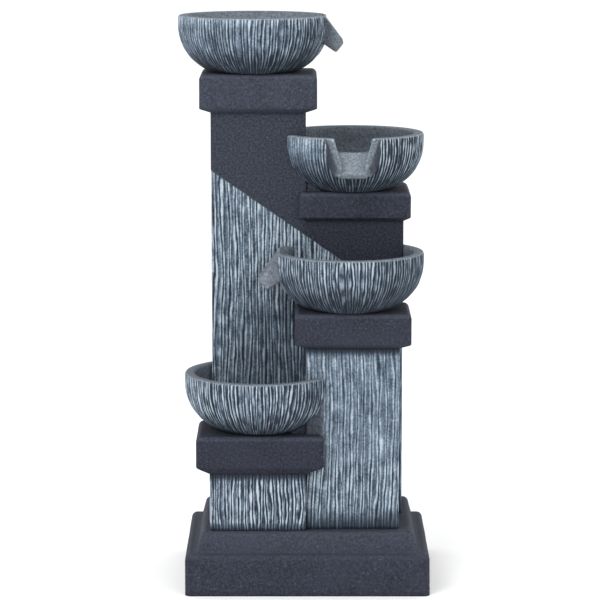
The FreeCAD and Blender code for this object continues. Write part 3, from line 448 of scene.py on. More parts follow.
def crest_height(across, height, pitch, seed, even=0.0):
    """How far a point stands out of the grooves, from 0 at the bottom to 1 on a strong crest.

    With even at 1 the broad crests stand alone and nearly regular.
    """
    drift, uneven, tremble = [bend(across, height, pitch, seed, kind)
                              for kind in (DRIFT, UNEVEN, TREMBLE)]
    bent = across + drift + (uneven + tremble) * (1 - STEADIER * even)
    broad = one_set(bent, height, pitch, seed + BROAD["seed"])
    fine = one_set(bent, height, pitch * FINE["pitch"], seed + FINE["seed"])
    broad_share = BROAD["share"] + BROAD["gain_when_even"] * even
    return min(1.0, max(0.0, broad_share * broad + FINE["share"] * (1 - even) * fine))


print("crest heights along 12 mm:",
      [round(crest_height(x, 100, 5, 3), 2) for x in range(0, 13, 2)])

# %% [markdown]
# ## Carved columns
# On both rear columns a slanting line parts smooth charcoal above from carved stone below, and the
# carved part lies a little deeper. The front columns are carved from cap to foot. Geometry carries
# the grooves, because they show at the corners and under raking light. Each column starts as an
# open box whose upright edges are bevelled. Its faces are cut into narrow strips, about seven to a
# groove, and into rows, and then every point moves inwards by the depth of the groove there. Sides
# that are glued to another column stay flat, so that no light shows through the joint.

# %% Column sizes and styles
SKIN_INSET = 0.12
CORNER_RADIUS = 3.2
JOINT_RADIUS = 0.8
ROW_HEIGHT = 7
POINTS_PER_GROOVE = 7
GROOVE_DEPTH = 1.2
CARVED_DROP = 0.2
PAST_ENDS = 1.0
OUTER_SKIN = 2.2
DIAGONAL_HEIGHT = 516.5
DIAGONAL_SLOPE = 0.691
DIAGONAL_EASE = 1.5
# Paint fades out over the height fade at the foot, in ragged strokes and darker with painted shade
# by the plinth. Softer names an axis, where the paint has full contrast and where it has the least,
# and the share that is left there.
COLUMNS = {
    "rear_left_column": {
        "pitch": 5.5, "seed": 3, "wander": 1.1, "glued": ("right",), "crisp": ("right",),
        "diagonal": True, "brush_light_and_shade": 1.03, "contrast": 1.0, "foot_fade_and_shade": 40, "wash": 0.05},
    "rear_right_column": {
        "pitch": 5.5, "seed": 3, "wander": 1.1, "glued": ("left",), "crisp": ("left",),
        "diagonal": True, "brush_light_and_shade": 1.03, "contrast": 1.0, "foot_fade_and_shade": 40, "wash": 0.01},
    "front_right_column": {
        "pitch": 5.4, "seed": 11, "wander": 1.2, "glued": ("back",), "crisp": ("left", "back"),
        "diagonal": False, "brush_light_and_shade": 1.07, "contrast": 1.0, "foot_fade_and_shade": 34, "bare_corner": True,
        "softer": ("z", 175, 215, 0.64)},
    "front_left_column": {
        "pitch": 5.2, "seed": 17, "wander": 1.8, "glued": ("right", "back"),
        "crisp": ("right", "back"), "diagonal": False, "brush_light_and_shade": 0.96, "contrast": 1.75, "foot_fade_and_shade": 9,
        "bare_corner": False, "softer": ("x", -80, -140, 0.7)},
}
print("strips are about", round(COLUMNS["rear_left_column"]["pitch"] / POINTS_PER_GROOVE, 2), "mm wide")

# %% [markdown]
# ## Paint on the columns
# The brush did not reach every place alike, and the paint also carries painted light and shade. At
# the foot the pale paint ends in ragged strokes and darkens with painted shade by the plinth, and right
# under a cap painted shade darkens it. On the tall columns painted light makes it paler high up, and
# painted shadow from the bowls makes it darker low down. On the front right column a corner beside the
# lowest bowl has neither grooves nor much paint.

# %% Where the paint goes on a column
# The left and right sides read the groove pattern from this much further on than front and back.
SIDE_SHIFT = 400
# Ragged strokes at the foot, darker there with painted shade by the plinth.
FOOT_STROKES_AND_SHADE = {"start": 3, "spread": 5, "stroke": 3.1, "seed": 7, "least": 0.3}
# Painted shade right under a cap.
SHADE_UNDER_CAP = {"from": 3, "to": 14, "least": 0.15}
# Painted light and shade on the tall columns: paler high up, darker low down in the bowls' shadow, most
# towards the right.
LIGHT_AND_SHADE_SPAN = {"from": -118, "to": -74, "least": 0.1}
PAINTED_LIGHT_HIGH = {"from": 420, "to": 470, "gain": 0.13}
PAINTED_SHADE_LOW = {"from": 385, "to": 435, "loss": 0.24}
BARE = {"right_of": 24, "low": 215, "high": 296, "paint": 0.12}
BARE_EDGE = {"spread": 5, "across": 5, "along": 12, "left": 7, "right": 5}
BARE_ENDS = {"low": (-5, 5), "high": (-12, 6)}


def eased(value, start, end):
    """A smooth step from 0 at start to 1 at end."""
    share = min(1.0, max(0.0, (value - start) / (end - start)))
    return share * share * (3 - 2 * share)


def blend(start, end, share):
    """A value between two others."""
    return start + (end - start) * share


def nearest_side(point, low, high):
    """Which side of its box a point is nearest to, and how far from it, in millimetres."""
    gaps = {"left": point.x - low.x, "right": high.x - point.x, "front": point.y - low.y,
            "back": high.y - point.y}
    side = min(gaps, key=gaps.get)
    return side, gaps[side] / MM


def light_and_shade_at(x, z):
    """Painted light and shade on the tall columns, about 1: paler high up, darker low down in the bowls'
    shadow, most towards the right.
    """
    light_and_shade_share = blend(LIGHT_AND_SHADE_SPAN["least"], 1, eased(x, LIGHT_AND_SHADE_SPAN["from"], LIGHT_AND_SHADE_SPAN["to"]))
    lit_high = PAINTED_LIGHT_HIGH["gain"] * eased(z, PAINTED_LIGHT_HIGH["from"], PAINTED_LIGHT_HIGH["to"])
    shaded_low = PAINTED_SHADE_LOW["loss"] * (1 - eased(z, PAINTED_SHADE_LOW["from"], PAINTED_SHADE_LOW["to"]))
    return 1 + light_and_shade_share * (lit_high - shaded_low)


def bare_share(x, z, seed):
    """How bare a place on the front right column is, 1 in the corner beside the lowest bowl."""
    spot = Vector((x / BARE_EDGE["across"], z / BARE_EDGE["along"], seed))
    edge = BARE["right_of"] + BARE_EDGE["spread"] * noise.noise(spot)
    beside_bowl = 1 - eased(x, edge - BARE_EDGE["left"], edge + BARE_EDGE["right"])
    above, below = [[BARE[end] + ease for ease in BARE_ENDS[end]] for end in ("low", "high")]
    return beside_bowl * eased(z, *above) * (1 - eased(z, *below))


def column_surface(point, low, high, style):
    """Crest height, carved share and paint at a point on a column's outer skin."""
    x, y, z = point / MM
    side, gap = nearest_side(point, low, high)
    if side in style["glued"] and gap > 2 * SKIN_INSET and y - low.y / MM < OUTER_SKIN:
        side = "front"
    if side in style["glued"]:
        return 0.0, 0.0, 0.0
    across = x if side in ("front", "back") else y + SIDE_SHIFT
    crest = crest_height(across, z * style["wander"], style["pitch"], style["seed"])
    stroke = noise.noise(Vector((across / FOOT_STROKES_AND_SHADE["stroke"], style["seed"], FOOT_STROKES_AND_SHADE["seed"])))
    ragged = low.z / MM + FOOT_STROKES_AND_SHADE["start"] + FOOT_STROKES_AND_SHADE["spread"] * stroke
    # The pale paint ends in ragged strokes at the foot and is darker there with painted shade by the
    # plinth.
    paint = style["brush_light_and_shade"] * blend(FOOT_STROKES_AND_SHADE["least"], 1, eased(z, ragged, ragged + style["foot_fade_and_shade"]))
    if style["diagonal"]:
        share = eased(DIAGONAL_HEIGHT - DIAGONAL_SLOPE * x - z, 0, DIAGONAL_EASE)
        # On the tall columns the paint carries painted light high up and painted shadow low down.
        return crest, share, blend(style["wash"], paint * light_and_shade_at(x, z), share)
    bare = side == "front" and style["bare_corner"]
    share = 1 - bare_share(x, z, style["seed"]) if bare else 1.0
    # Painted shade right under the cap.
    paint *= blend(SHADE_UNDER_CAP["least"], 1, eased(high.z / MM - z, SHADE_UNDER_CAP["from"], SHADE_UNDER_CAP["to"]))
    return crest, share, blend(BARE["paint"], paint, share)


# Painted light and shade on the tall column, low and high.
print("brush on the tall column, low and high:", round(light_and_shade_at(-80, 300), 2), round(light_and_shade_at(-80, 500), 2))

# %% [markdown]
# ## Carving a box
# An open box is easier to carve than a closed one: its walls are cut into strips and rows, its
# points are moved along their normals, and only then are its two ends closed. The slanting line is
# cut in as clean edges first, so that it doesn't step from strip to strip.


# %% Cut and carve a box
def upright(edge):
    """Whether an edge of a box runs up and down."""
    return abs(edge.verts[0].co.z - edge.verts[1].co.z) > WELD


def cut_strips(bm, spacing, row_height):
    """Cut the walls of an open box into upright strips, and then into level rows."""
    level_edges = {}
    for edge in bm.edges:
        if not upright(edge):
            cuts = round(edge.calc_length() / (spacing * MM)) - 1
            level_edges.setdefault(cuts, []).append(edge)
    for cuts, edges in level_edges.items():
        if cuts > 0:
            bmesh.ops.subdivide_edges(bm, edges=edges, cuts=cuts)
    uprights = [edge for edge in bm.edges if upright(edge)]
    rows = round(uprights[0].calc_length() / (row_height * MM)) - 1
    bmesh.ops.subdivide_edges(bm, edges=uprights, cuts=rows)


def open_box(low, high, crisp):
    """The four walls of a box, with rounded upright edges, which are crisp at the sides named."""
    bm = block(low, high)
    ends = [face for face in bm.faces if abs(face.normal.z) > 0.5]
    bmesh.ops.delete(bm, geom=ends, context="FACES_ONLY")
    middle = (low + high) / 2
    groups = {CORNER_RADIUS: [], JOINT_RADIUS: []}
    for edge in bm.edges:
        if upright(edge):
            corner = edge.verts[0].co
            sides = {"left" if corner.x < middle.x else "right",
                     "front" if corner.y < middle.y else "back"}
            groups[JOINT_RADIUS if sides & set(crisp) else CORNER_RADIUS].append(edge)
    for radius, uprights in groups.items():
        bmesh.ops.bevel(bm, geom=uprights, offset=radius * MM, offset_type="OFFSET", segments=4,
                        profile=0.5, affect="EDGES", material=-1)
    return bm


def cut_diagonal(bm):
    """Cut clean edges along the slanting line and along the foot of its slope."""
    for drop in (0, DIAGONAL_EASE):
        height = (DIAGONAL_HEIGHT - drop) * MM
        bmesh.ops.bisect_plane(bm, geom=[*bm.verts, *bm.edges, *bm.faces], dist=WELD,
                               plane_co=(0, 0, height), plane_no=(DIAGONAL_SLOPE, 0, 1))


def carve(bm, surface):
    """Move every point inwards by the depth of its groove, then close both ends."""
    bm.normal_update()
    moves = []
    for vert in bm.verts:
        crest, share, paint = surface(vert.co)
        moves.append((vert, vert.normal * -share * (CARVED_DROP + GROOVE_DEPTH * (1 - crest)) * MM))
    for vert, move in moves:
        vert.co += move
    bmesh.ops.holes_fill(bm, edges=[edge for edge in bm.edges if edge.is_boundary], sides=0)


print("grooves are up to", CARVED_DROP + GROOVE_DEPTH, "mm deep")

# %% [markdown]
# ## Trimming and painting a column
# The solid's copy has its outer skin pushed out before it trims the carved box, so that it cuts the
# hollow, the doorway and the holes, and leaves the carving alone. The paint's three values are then
# written on the points, where the material reads them.

# %% Trim a piece and write its paint
PAINT_VALUES = ("ridge", "carved", "brush_light_and_shade")
MEAN_CREST = 0.42
EVEN_CONTRAST = ("z", 0, 1, 1.0)


def trim_with(piece, node, low, high):
    """Keep what the solid has inside its outer skin: the hollow, the doorway and the holes."""
    trimmer = solid_copy(node)
    for vert in trimmer.data.vertices:
        for axis in (0, 1):
            if vert.co[axis] < low[axis] + OUTER_SKIN * MM:
                vert.co[axis] = low[axis] - OUTER_SKIN * MM
            elif vert.co[axis] > high[axis] - OUTER_SKIN * MM:
                vert.co[axis] = high[axis] + OUTER_SKIN * MM
    combine(piece, "INTERSECT", trimmer)


def store_values(piece, names, values_at):
    """Write named values on the points of a piece, from a function of the point."""
    values = [values_at(vert) for vert in piece.data.vertices]
    for position, name in enumerate(names):
        layer = piece.data.attributes.new(name, "FLOAT", "POINT")
        layer.data.foreach_set("value", [value[position] for value in values])


def contrast_at(point, style):
    """How strong the contrast of the paint is at a point: some columns have a part with softer contrast.
    """
    axis, full, soft, least = style.get("softer", EVEN_CONTRAST)
    return style["contrast"] * (1 - (1 - least) * eased(getattr(point, axis) / MM, full, soft))


def paint_values(surface, contrast):
    """The values for the paint, with crests and grooves further apart where the contrast is higher."""
    crest, share, paint = surface
    ridge = MEAN_CREST + (crest - MEAN_CREST) * contrast
    return min(1.0, max(0.0, ridge)), share, paint


print("values on carved pieces:", PAINT_VALUES)


# %% Carve the four columns
def make_column(node, style):
    """Carve a column out of an open box, trim it with its solid, and paint it."""
    low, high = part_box(node)
    inset = Vector((SKIN_INSET, SKIN_INSET, -PAST_ENDS)) * MM
    bm = open_box(low + inset, high - inset, style["crisp"])
    cut_strips(bm, style["pitch"] / POINTS_PER_GROOVE, ROW_HEIGHT)
    if style["diagonal"]:
        cut_diagonal(bm)
    carve(bm, lambda point: column_surface(point, low, high, style))
    piece = mesh_object(f"carved_{node}", bm)
    trim_with(piece, node, low, high)

    def paint_at(vert):
        if nearest_side(vert.co, low, high)[1] > OUTER_SKIN:
            return 0.0, 0.0, 0.0
        return paint_values(column_surface(vert.co, low, high, style), contrast_at(vert.co, style))

    store_values(piece, PAINT_VALUES, paint_at)
    dress(piece, node, "drybrushed_resin", "fountain")


for node, style in COLUMNS.items():
    make_column(node, style)

# %% [markdown]
# ## Access door
# The door in the back of the tall column is a flat panel with a finger hole, and the carving runs
# on across it. It is carved with the tall column's own pattern, from the same place in the frame,
# so its grooves meet those beside it.


# %% Carve the door
def make_door():
    """Carve the door as a part of the tall column's back, and trim it with its solid."""
    style = COLUMNS["rear_left_column"]
    low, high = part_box("access_door")
    column_low, column_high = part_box("rear_left_column")
    margin = Vector((OUTER_SKIN, OUTER_SKIN, PAST_ENDS)) * MM
    skin_low = low - margin
    skin_high = high + margin
    skin_high.y = column_high.y - SKIN_INSET * MM
    bm = open_box(skin_low, skin_high, ("left", "right"))
    cut_strips(bm, style["pitch"] / POINTS_PER_GROOVE, ROW_HEIGHT)

    def surface(point):
        if column_high.y - point.y > OUTER_SKIN * MM:
            return 0.0, 0.0, 0.0
        return column_surface(point, column_low, column_high, style)

    carve(bm, surface)
    piece = mesh_object("carved_access_door", bm)
    trimmer = solid_copy("access_door")
    for vert in trimmer.data.vertices:
        if vert.co.y > high.y - OUTER_SKIN * MM:
            vert.co.y = column_high.y + OUTER_SKIN * MM
    combine(piece, "INTERSECT", trimmer)
    store_values(piece, PAINT_VALUES, lambda vert: paint_values(surface(vert.co), style["contrast"]))
    dress(piece, "access_door", "drybrushed_resin", "door")


make_door()

# %% [markdown]
# ## Caps and plinth
# These were cast smooth, but from a hand-made master: edges are rounded, faces are not quite flat.
# Each is a bevelled block cut into a grid, with a slow noise that dips its faces by under a
# millimetre. The block is a hair smaller than the solid on the sides that show and runs past it on
# the others, so that the solid's copy trims the underside, the hollow and the notches. The paint is
# paler where an upper edge leans up and out. Some pieces are paler all over: on the caps this is
# painted light, strongest on the top cap and gone on the lowest, and on the plinth the tier is paler
# than the step.

# %% Rounded and softened blocks
DIP = 0.8
MEAN_DIP = 0.5
SLOW_DIP = {"size": 55, "share": 0.36}
QUICK_DIP = {"size": 14, "share": 0.14}
RUBBED_LEAN = (0.1, 0.5)


def round_block(low, high, radius):
    """A block whose upright and upper edges are rounded."""
    bm = block(low, high)
    base = min(vert.co.z for vert in bm.verts)
    edges = [e for e in bm.edges if max(v.co.z for v in e.verts) > base + WELD]
    bmesh.ops.bevel(bm, geom=edges, offset=radius * MM, offset_type="OFFSET", segments=6,
                    profile=0.5, affect="EDGES", material=-1)
    return bm


def cut_grid(bm, spacing):
    """Cut a mesh along planes square to each axis, a set distance apart."""
    for axis in range(3):
        normal = Vector([1.0 if index == axis else 0.0 for index in range(3)])
        reach = [vert.co[axis] for vert in bm.verts]
        count = int((max(reach) - min(reach)) / (spacing * MM))
        for step in range(1, count):
            level = min(reach) + (max(reach) - min(reach)) * step / count
            bmesh.ops.bisect_plane(bm, geom=[*bm.verts, *bm.edges, *bm.faces], dist=WELD,
                                   plane_co=normal * level, plane_no=normal)


def soften(bm, seed):
    """Dip the faces inwards by slow noise, so that they look cast from a hand-made master."""
    bm.normal_update()
    moves = []
    for vert in bm.verts:
        slow = noise.noise(vert.co / (SLOW_DIP["size"] * MM) + Vector((seed, 0, 0)))
        quick = noise.noise(vert.co / (QUICK_DIP["size"] * MM) + Vector((0, seed, 0)))
        depth = MEAN_DIP + SLOW_DIP["share"] * slow + QUICK_DIP["share"] * quick
        moves.append((vert, vert.normal * -DIP * MM * depth))
    for vert, move in moves:
        vert.co += move


def worn_edge_and_paleness(vert, most, paler_all_over):
    """How pale a point is: paler all over by a share for the whole piece, which on the caps is painted
    light, and rubbed on an upper edge, which leans up and out.
    """
    level = math.hypot(vert.normal.x, vert.normal.y)
    return (paler_all_over + most * eased(min(vert.normal.z, level), *RUBBED_LEAN),)


print("faces dip by about", DIP * MEAN_DIP, "mm")

# %% Make the four caps
CAP_RADIUS = 8.6
CAP_GRID = 7
CAP_RUB = 0.4
# Painted light: the upper caps are paler all over than the lower ones, as the light falls off downwards.
CAP_PAINTED_LIGHT = {"top_cap": 0.28, "second_cap": 0.12, "third_cap": 0.07, "lowest_cap": 0.0}
CAPS_AGAINST_A_COLUMN = ("third_cap", "lowest_cap")
FIRST_CAP_SEED = 10


def make_cap(node, seed):
    """Cast a cap: round and soften a block, trim it with its solid, and paint it."""
    low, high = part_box(node)
    inset = Vector((SKIN_INSET, SKIN_INSET, SKIN_INSET)) * MM
    inner_low = low + inset
    inner_high = high - inset
    inner_low.z = low.z - PAST_ENDS * MM
    if node in CAPS_AGAINST_A_COLUMN:
        inner_high.y = high.y + 2 * CAP_RADIUS * MM
    bm = round_block(inner_low, inner_high, CAP_RADIUS)
    cut_grid(bm, CAP_GRID)
    soften(bm, seed)
    piece = mesh_object(f"cast_{node}", bm)
    combine(piece, "INTERSECT", solid_copy(node))
    store_values(piece, ("wear_and_light",), lambda vert: worn_edge_and_paleness(vert, CAP_RUB, CAP_PAINTED_LIGHT[node]))
    dress(piece, node, "charcoal_resin", "fountain")


for seed, node in enumerate(CAP_PAINTED_LIGHT):
    make_cap(node, FIRST_CAP_SEED + seed)

# %% Make the plinth
STEP_HEIGHT = 62
STEP_RADIUS = 9
TIER_LEDGE = 17
TIER_SLOPE = 8
TIER_RADIUS = 6.6
PLINTH_GRID = 9
PLINTH_RUB = 0.12
# The plinth's tier is paler all over than its step.
STEP_PALENESS = 0.1
TIER_PALENESS = 0.28
TIER_PALENESS_EDGE = (-6, 2)
FIRST_PLINTH_SEED = 30


def plinth_tier(low, high, height):
    """The upper tier, which leans in to its top and reaches half way down into the step."""
    bm = block(low, high)
    over = TIER_SLOPE * (STEP_HEIGHT / 2) / (height - STEP_HEIGHT)
    for vert in bm.verts:
        out = (-TIER_SLOPE if vert.co.z > STEP_HEIGHT * MM else over) * MM
        vert.co += Vector((math.copysign(out, out * vert.co.x), math.copysign(out, out * vert.co.y), 0))
    edges = [e for e in bm.edges if max(v.co.z for v in e.verts) > STEP_HEIGHT * MM]
    bmesh.ops.bevel(bm, geom=edges, offset=TIER_RADIUS * MM, offset_type="OFFSET", segments=6,
                    profile=0.5, affect="EDGES", material=-1)
    return bm


def make_plinth():
    """Cast the plinth: unite step and tier, trim them with the solid, and paint them."""
    low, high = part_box("plinth")
    sides = Vector((SKIN_INSET, SKIN_INSET, 0)) * MM
    ledge = Vector((TIER_LEDGE, TIER_LEDGE, 0)) * MM
    step_low = low + sides - Vector((0, 0, PAST_ENDS)) * MM
    step_high = high - sides
    step_high.z = (STEP_HEIGHT - SKIN_INSET) * MM
    tier_low = low + ledge + sides + Vector((0, 0, STEP_HEIGHT / 2 * MM))
    tier_high = high - ledge - sides - Vector((0, 0, SKIN_INSET)) * MM
    step = round_block(step_low, step_high, STEP_RADIUS)
    tier = plinth_tier(tier_low, tier_high, high.z / MM)
    for seed, bm in enumerate((step, tier)):
        cut_grid(bm, PLINTH_GRID)
        soften(bm, FIRST_PLINTH_SEED + seed)
    piece = mesh_object("cast_plinth", step)
    combine(piece, "UNION", mesh_object("plinth_tier", tier))
    combine(piece, "INTERSECT", solid_copy("plinth"))

    def plinth_wear_and_paleness(vert):
        on_tier = eased(vert.co.z / MM - STEP_HEIGHT, *TIER_PALENESS_EDGE)
        return worn_edge_and_paleness(vert, PLINTH_RUB, blend(STEP_PALENESS, TIER_PALENESS, on_tier))

    store_values(piece, ("wear_and_light",), plinth_wear_and_paleness)
    dress(piece, "plinth", "charcoal_resin", "fountain")


make_plinth()

# %% [markdown]
# ## Fluted bowls
# A bowl is turned, so its wall is a profile spun round an axis. Flutes run down its outside and
# draw together towards the foot. They are cut by moving the points of the spun wall inwards before
# anything else is joined to it, so the spout stays smooth, as the cast one is.

# %% Bowl styles
# Spout is the angle that the spout points to. Columns are those that stand in the bowl's way, and
# fillet gives two corners of the resin beside its foot. Of the paint, brush and contrast are as on
# the columns, sweep is the contrast gained to the right, partly painted light from the lamp on the
# left, and rim the paint gained at the rim. Down and right, the paint lost towards the foot and
# towards the right, are painted shade. Inside is the wash in the bowl, and flank the wash on the
# spout's sides at its root and at its tip, kept low there as painted shade.
BOWLS = {
    "top_bowl": {
        "centre": (-81, 57, 843), "radius": 113, "stem": 10.5, "spout": 0, "columns": (),
        "flutes": 130, "seed": 51, "even": 0.2,
        "brush_light_and_shade": 0.91, "contrast": 1.0, "sweep_with_light": 0.25, "rim": 0.36, "down": 0.06, "right": 0.2,
        "inside": 0.95, "flank_wash_and_shade": (0.18, 0.6)},
    "second_bowl": {
        "centre": (67, 49, 668), "radius": 109, "stem": 0, "spout": -90,
        "columns": ("rear_left_column",), "fillet": ((-4, 5, 583.5), (22, 22, 596)),
        "flutes": 120, "seed": 52, "even": 0.6,
        "brush_light_and_shade": 1.08, "contrast": 1.55, "sweep_with_light": 1.18, "rim": 0.14, "down": 0.42, "right": 0.45,
        "inside": 0.5, "flank_wash_and_shade": (0.06, 0.16)},
    "third_bowl": {
        "centre": (62, -46, 501), "radius": 111, "stem": 0, "spout": 180,
        "columns": ("rear_left_column", "rear_right_column"),
        "flutes": 138, "seed": 53, "even": 0.0,
        "brush_light_and_shade": 0.82, "contrast": 1.75, "sweep_with_light": 0.2, "rim": 0.12, "down": 0.42, "right": 0.4,
        "inside": 0.4, "flank_wash_and_shade": (0.5, 0.75)},
    "lowest_bowl": {
        "centre": (-71, -46, 320), "radius": 112, "stem": 13, "spout": None,
        "columns": ("rear_left_column", "rear_right_column", "front_right_column"),
        "fillet": ((-26, -95, 235.5), (0, -78, 248)),
        "flutes": 130, "seed": 54, "even": 0.0,
        "brush_light_and_shade": 0.91, "contrast": 1.65, "sweep_with_light": 0.0, "rim": 0.04, "down": 0.06, "right": 0.3,
        "inside": 0.65, "flank_wash_and_shade": (0.06, 0.06)},
}
print("bowls:", sorted(BOWLS))

# %% Profile of the wall
BOWL_HEIGHT = 84
RIM_BAND = 15
RIM_ROWS = (11, 7.5)
RIM_WIDTH = 16
RIM_RADIUS = 4
RIM_ANGLES = (30, 60, 90)
FOOT_INSET = 48
FLOOR_INSET = 61
FLOOR_DEPTH = 72
OUTSIDE_ROWS = 22
INSIDE_ROWS = 12


def wall_arc(across, along):
    """Radius of an arc that leaves an upright wall smoothly and ends across in and along down."""
    return (across ** 2 + along ** 2) / (2 * across)


def outside_radius(radius, depth):
    """Radius of the bowl's outside at a depth below the rim."""
    arc = wall_arc(FOOT_INSET, BOWL_HEIGHT - RIM_BAND)
    below = max(0.0, depth - RIM_BAND)
    return radius - arc + math.sqrt(arc ** 2 - below ** 2)


def inside_radius(radius, depth):
    """Radius of the bowl's inside at a depth below the rim's band."""
    arc = wall_arc(FLOOR_INSET - RIM_WIDTH, FLOOR_DEPTH - RIM_BAND)
    return radius - RIM_WIDTH - arc + math.sqrt(arc ** 2 - (depth - RIM_BAND) ** 2)


def bowl_profile(radius, stem):
    """Points of the wall from the middle of the foot, out and over the rim, to the middle inside."""
    inner = radius - RIM_WIDTH
    points = [(stem, -BOWL_HEIGHT)]
    for row in range(OUTSIDE_ROWS + 1):
        depth = BOWL_HEIGHT - (BOWL_HEIGHT - RIM_BAND) * row / OUTSIDE_ROWS
        points.append((outside_radius(radius, depth), -depth))
    points += [(radius, -depth) for depth in (*RIM_ROWS, RIM_RADIUS)]
    turns = [math.radians(angle) for angle in RIM_ANGLES]
    corner = [(RIM_RADIUS - RIM_RADIUS * math.cos(a), -RIM_RADIUS + RIM_RADIUS * math.sin(a))
              for a in turns]
    points += [(radius - across, height) for across, height in corner]
    points.append((radius - RIM_WIDTH / 2, 0))
    points += [(inner + across, height) for across, height in reversed(corner)]
    points.append((inner, -RIM_RADIUS))
    for row in range(INSIDE_ROWS + 1):
        depth = RIM_BAND + (FLOOR_DEPTH - RIM_BAND) * row / INSIDE_ROWS
        points.append((inside_radius(radius, depth), -depth))
    points.append((stem, -FLOOR_DEPTH))
    return points


print("points in a profile:", len(bowl_profile(BOWLS["top_bowl"]["radius"], 0)))

# %% [markdown]
# ## Spouts
# Water leaves three of the bowls by a trough that juts from the rim and tapers to a lip. It is a
# side outline extruded to a width, narrowed towards its tip and its underside, with soft edges. A
# second tapered block, the water's way, is cut out of both bowl and trough. Spouts are made along
# +X, in millimetres with the rim at zero height, and then turned and moved to their bowl.

# %% Outside of a spout
SPOUT_REACH = 23
SPOUT_ROOT = 7
SPOUT_START = 15.6
SPOUT_HALF_WIDTH = 42
SPOUT_TIP_HALF = 28.5
SPOUT_SIDE = {"root_drop": 36, "tip_drop": 55, "tip_setback": 12, "lip_drop": 40}
SPOUT_LEAN = 0.15
SPOUT_SOFTENING = 3.2
SPOUT_CORNER = math.radians(25)
TOP_GAP = 0.25
CUT_WELD = 0.01


def half_width_at(distance, radius, root_half, tip_half):
    """Half the width of a tapered trough at a distance from the bowl's middle."""
    root = radius - SPOUT_ROOT
    tip = radius + SPOUT_REACH
    share = max(0.0, (distance - root) / (tip - root))
    return blend(root_half, tip_half, share)


def spout_block(radius):
    """The outside of the trough: a side outline, extruded, tapered and softened."""
    start = radius - SPOUT_START
    root = radius - SPOUT_ROOT
    tip = radius + SPOUT_REACH
    outline = [(start, -TOP_GAP), (start, -SPOUT_SIDE["root_drop"]),
               (tip - SPOUT_SIDE["tip_setback"], -SPOUT_SIDE["tip_drop"]),
               (tip, -SPOUT_SIDE["lip_drop"]), (root, -TOP_GAP)]
    bm = bmesh.new()
    side = bm.faces.new([bm.verts.new((x, -1, z)) for x, z in outline])
    grown = bmesh.ops.extrude_face_region(bm, geom=[side])
    far_side = [part for part in grown["geom"] if isinstance(part, bmesh.types.BMVert)]
    bmesh.ops.translate(bm, vec=(0, 2, 0), verts=far_side)
    bmesh.ops.bisect_plane(bm, geom=[*bm.verts, *bm.edges, *bm.faces], dist=CUT_WELD,
                           plane_co=(root, 0, 0), plane_no=(1, 0, 0))
    for vert in bm.verts:
        lean = 1 + SPOUT_LEAN * vert.co.z / SPOUT_SIDE["tip_drop"]
        vert.co.y *= lean * half_width_at(vert.co.x, radius, SPOUT_HALF_WIDTH, SPOUT_TIP_HALF)
    bmesh.ops.recalc_face_normals(bm, faces=bm.faces)
    free = [e for e in bm.edges if min(v.co.x for v in e.verts) > start + 1
            and e.calc_face_angle(0) > SPOUT_CORNER]
    bmesh.ops.bevel(bm, geom=free, offset=SPOUT_SOFTENING, offset_type="OFFSET", segments=3,
                    profile=0.5, affect="EDGES", material=-1)
    return bm


print("a spout reaches", SPOUT_REACH, "mm past the rim")

# %% The water's way
CHANNEL_HALF_WIDTH = 28
CHANNEL_TIP_HALF = 17
CHANNEL_SILL = 22
CHANNEL_LIP = 50
CHANNEL_LIP_REACH = 15


def channel_block(radius):
    """The water's way: a block that drops and narrows from inside the bowl past the lip."""
    sill = radius - RIM_WIDTH
    fall = (CHANNEL_LIP - CHANNEL_SILL) / (radius + CHANNEL_LIP_REACH - sill)
    root = radius - SPOUT_ROOT
    taper = (CHANNEL_HALF_WIDTH - CHANNEL_TIP_HALF) / (SPOUT_REACH + SPOUT_ROOT)
    bm = block(Vector((sill - RIM_WIDTH, -1, -1)), Vector((radius + 2 * SPOUT_REACH, 1, 1)))
    for vert in bm.verts:
        vert.co.y *= CHANNEL_HALF_WIDTH - taper * (vert.co.x - root)
        vert.co.z = RIM_WIDTH if vert.co.z > 0 else -CHANNEL_SILL - fall * (vert.co.x - sill)
    return bm


def settle(bm, style):
    """Turn a bowl's parts from their own millimetres to their place in the frame."""
    turn = Matrix.Rotation(math.radians(style["spout"] or 0), 4, "Z")
    bm.transform(Matrix.Translation(Vector(style["centre"]) * MM) @ turn @ Matrix.Scale(MM, 4))
    return bm


print("the water's way falls from", CHANNEL_SILL, "to", CHANNEL_LIP, "mm below the rim")

# %% [markdown]
# ## Flutes and paint of a bowl
# One function says what a place on a bowl is: the water's way and the inside have a pale wash, the
# spout's sides a thin one, kept low as painted shade, and the fluted outside has crests and brushed
# paint, which is fuller at the rim and thins out towards the foot, partly as painted shade.

# %% What a place on a bowl gets
FLUTE_DEPTH = 1.4
FLUTE_DROP = 0.25
FLUTE_WANDER = 1.4
FLUTE_START = (0.6, 2.4)
SPOUT_SKIN = 0.4
WALL_SKIN = FLUTE_DEPTH + 1.2
CHANNEL_MARGIN = {"along": 1, "across": 0.5}
CHANNEL_PAINT = 1.0
CHEEK_PAINT = 0.6
CHEEK_EDGE = (0.5, 4)
FLANK_REACH = (4, 18)
RIM_PAINT = 0.6
RIM_EDGE = (1, 6)
RIM_FADE = (3, 18)
# Painted shade towards the foot.
SHADE_DOWN_FADE = (18, 62)
# The paint thins towards the foot, partly as painted shade.
FOOT_PAINT_AND_SHADE = 0.06
FOOT_FADE_AND_SHADE = (2, 44)


def in_channel(point, style):
    """Whether a point is in the water's way."""
    radius = style["radius"]
    if style["spout"] is None or point.x <= radius - RIM_WIDTH - CHANNEL_MARGIN["along"]:
        return False
    half = half_width_at(point.x, radius, CHANNEL_HALF_WIDTH, CHANNEL_TIP_HALF)
    return abs(point.y) < half + CHANNEL_MARGIN["across"]


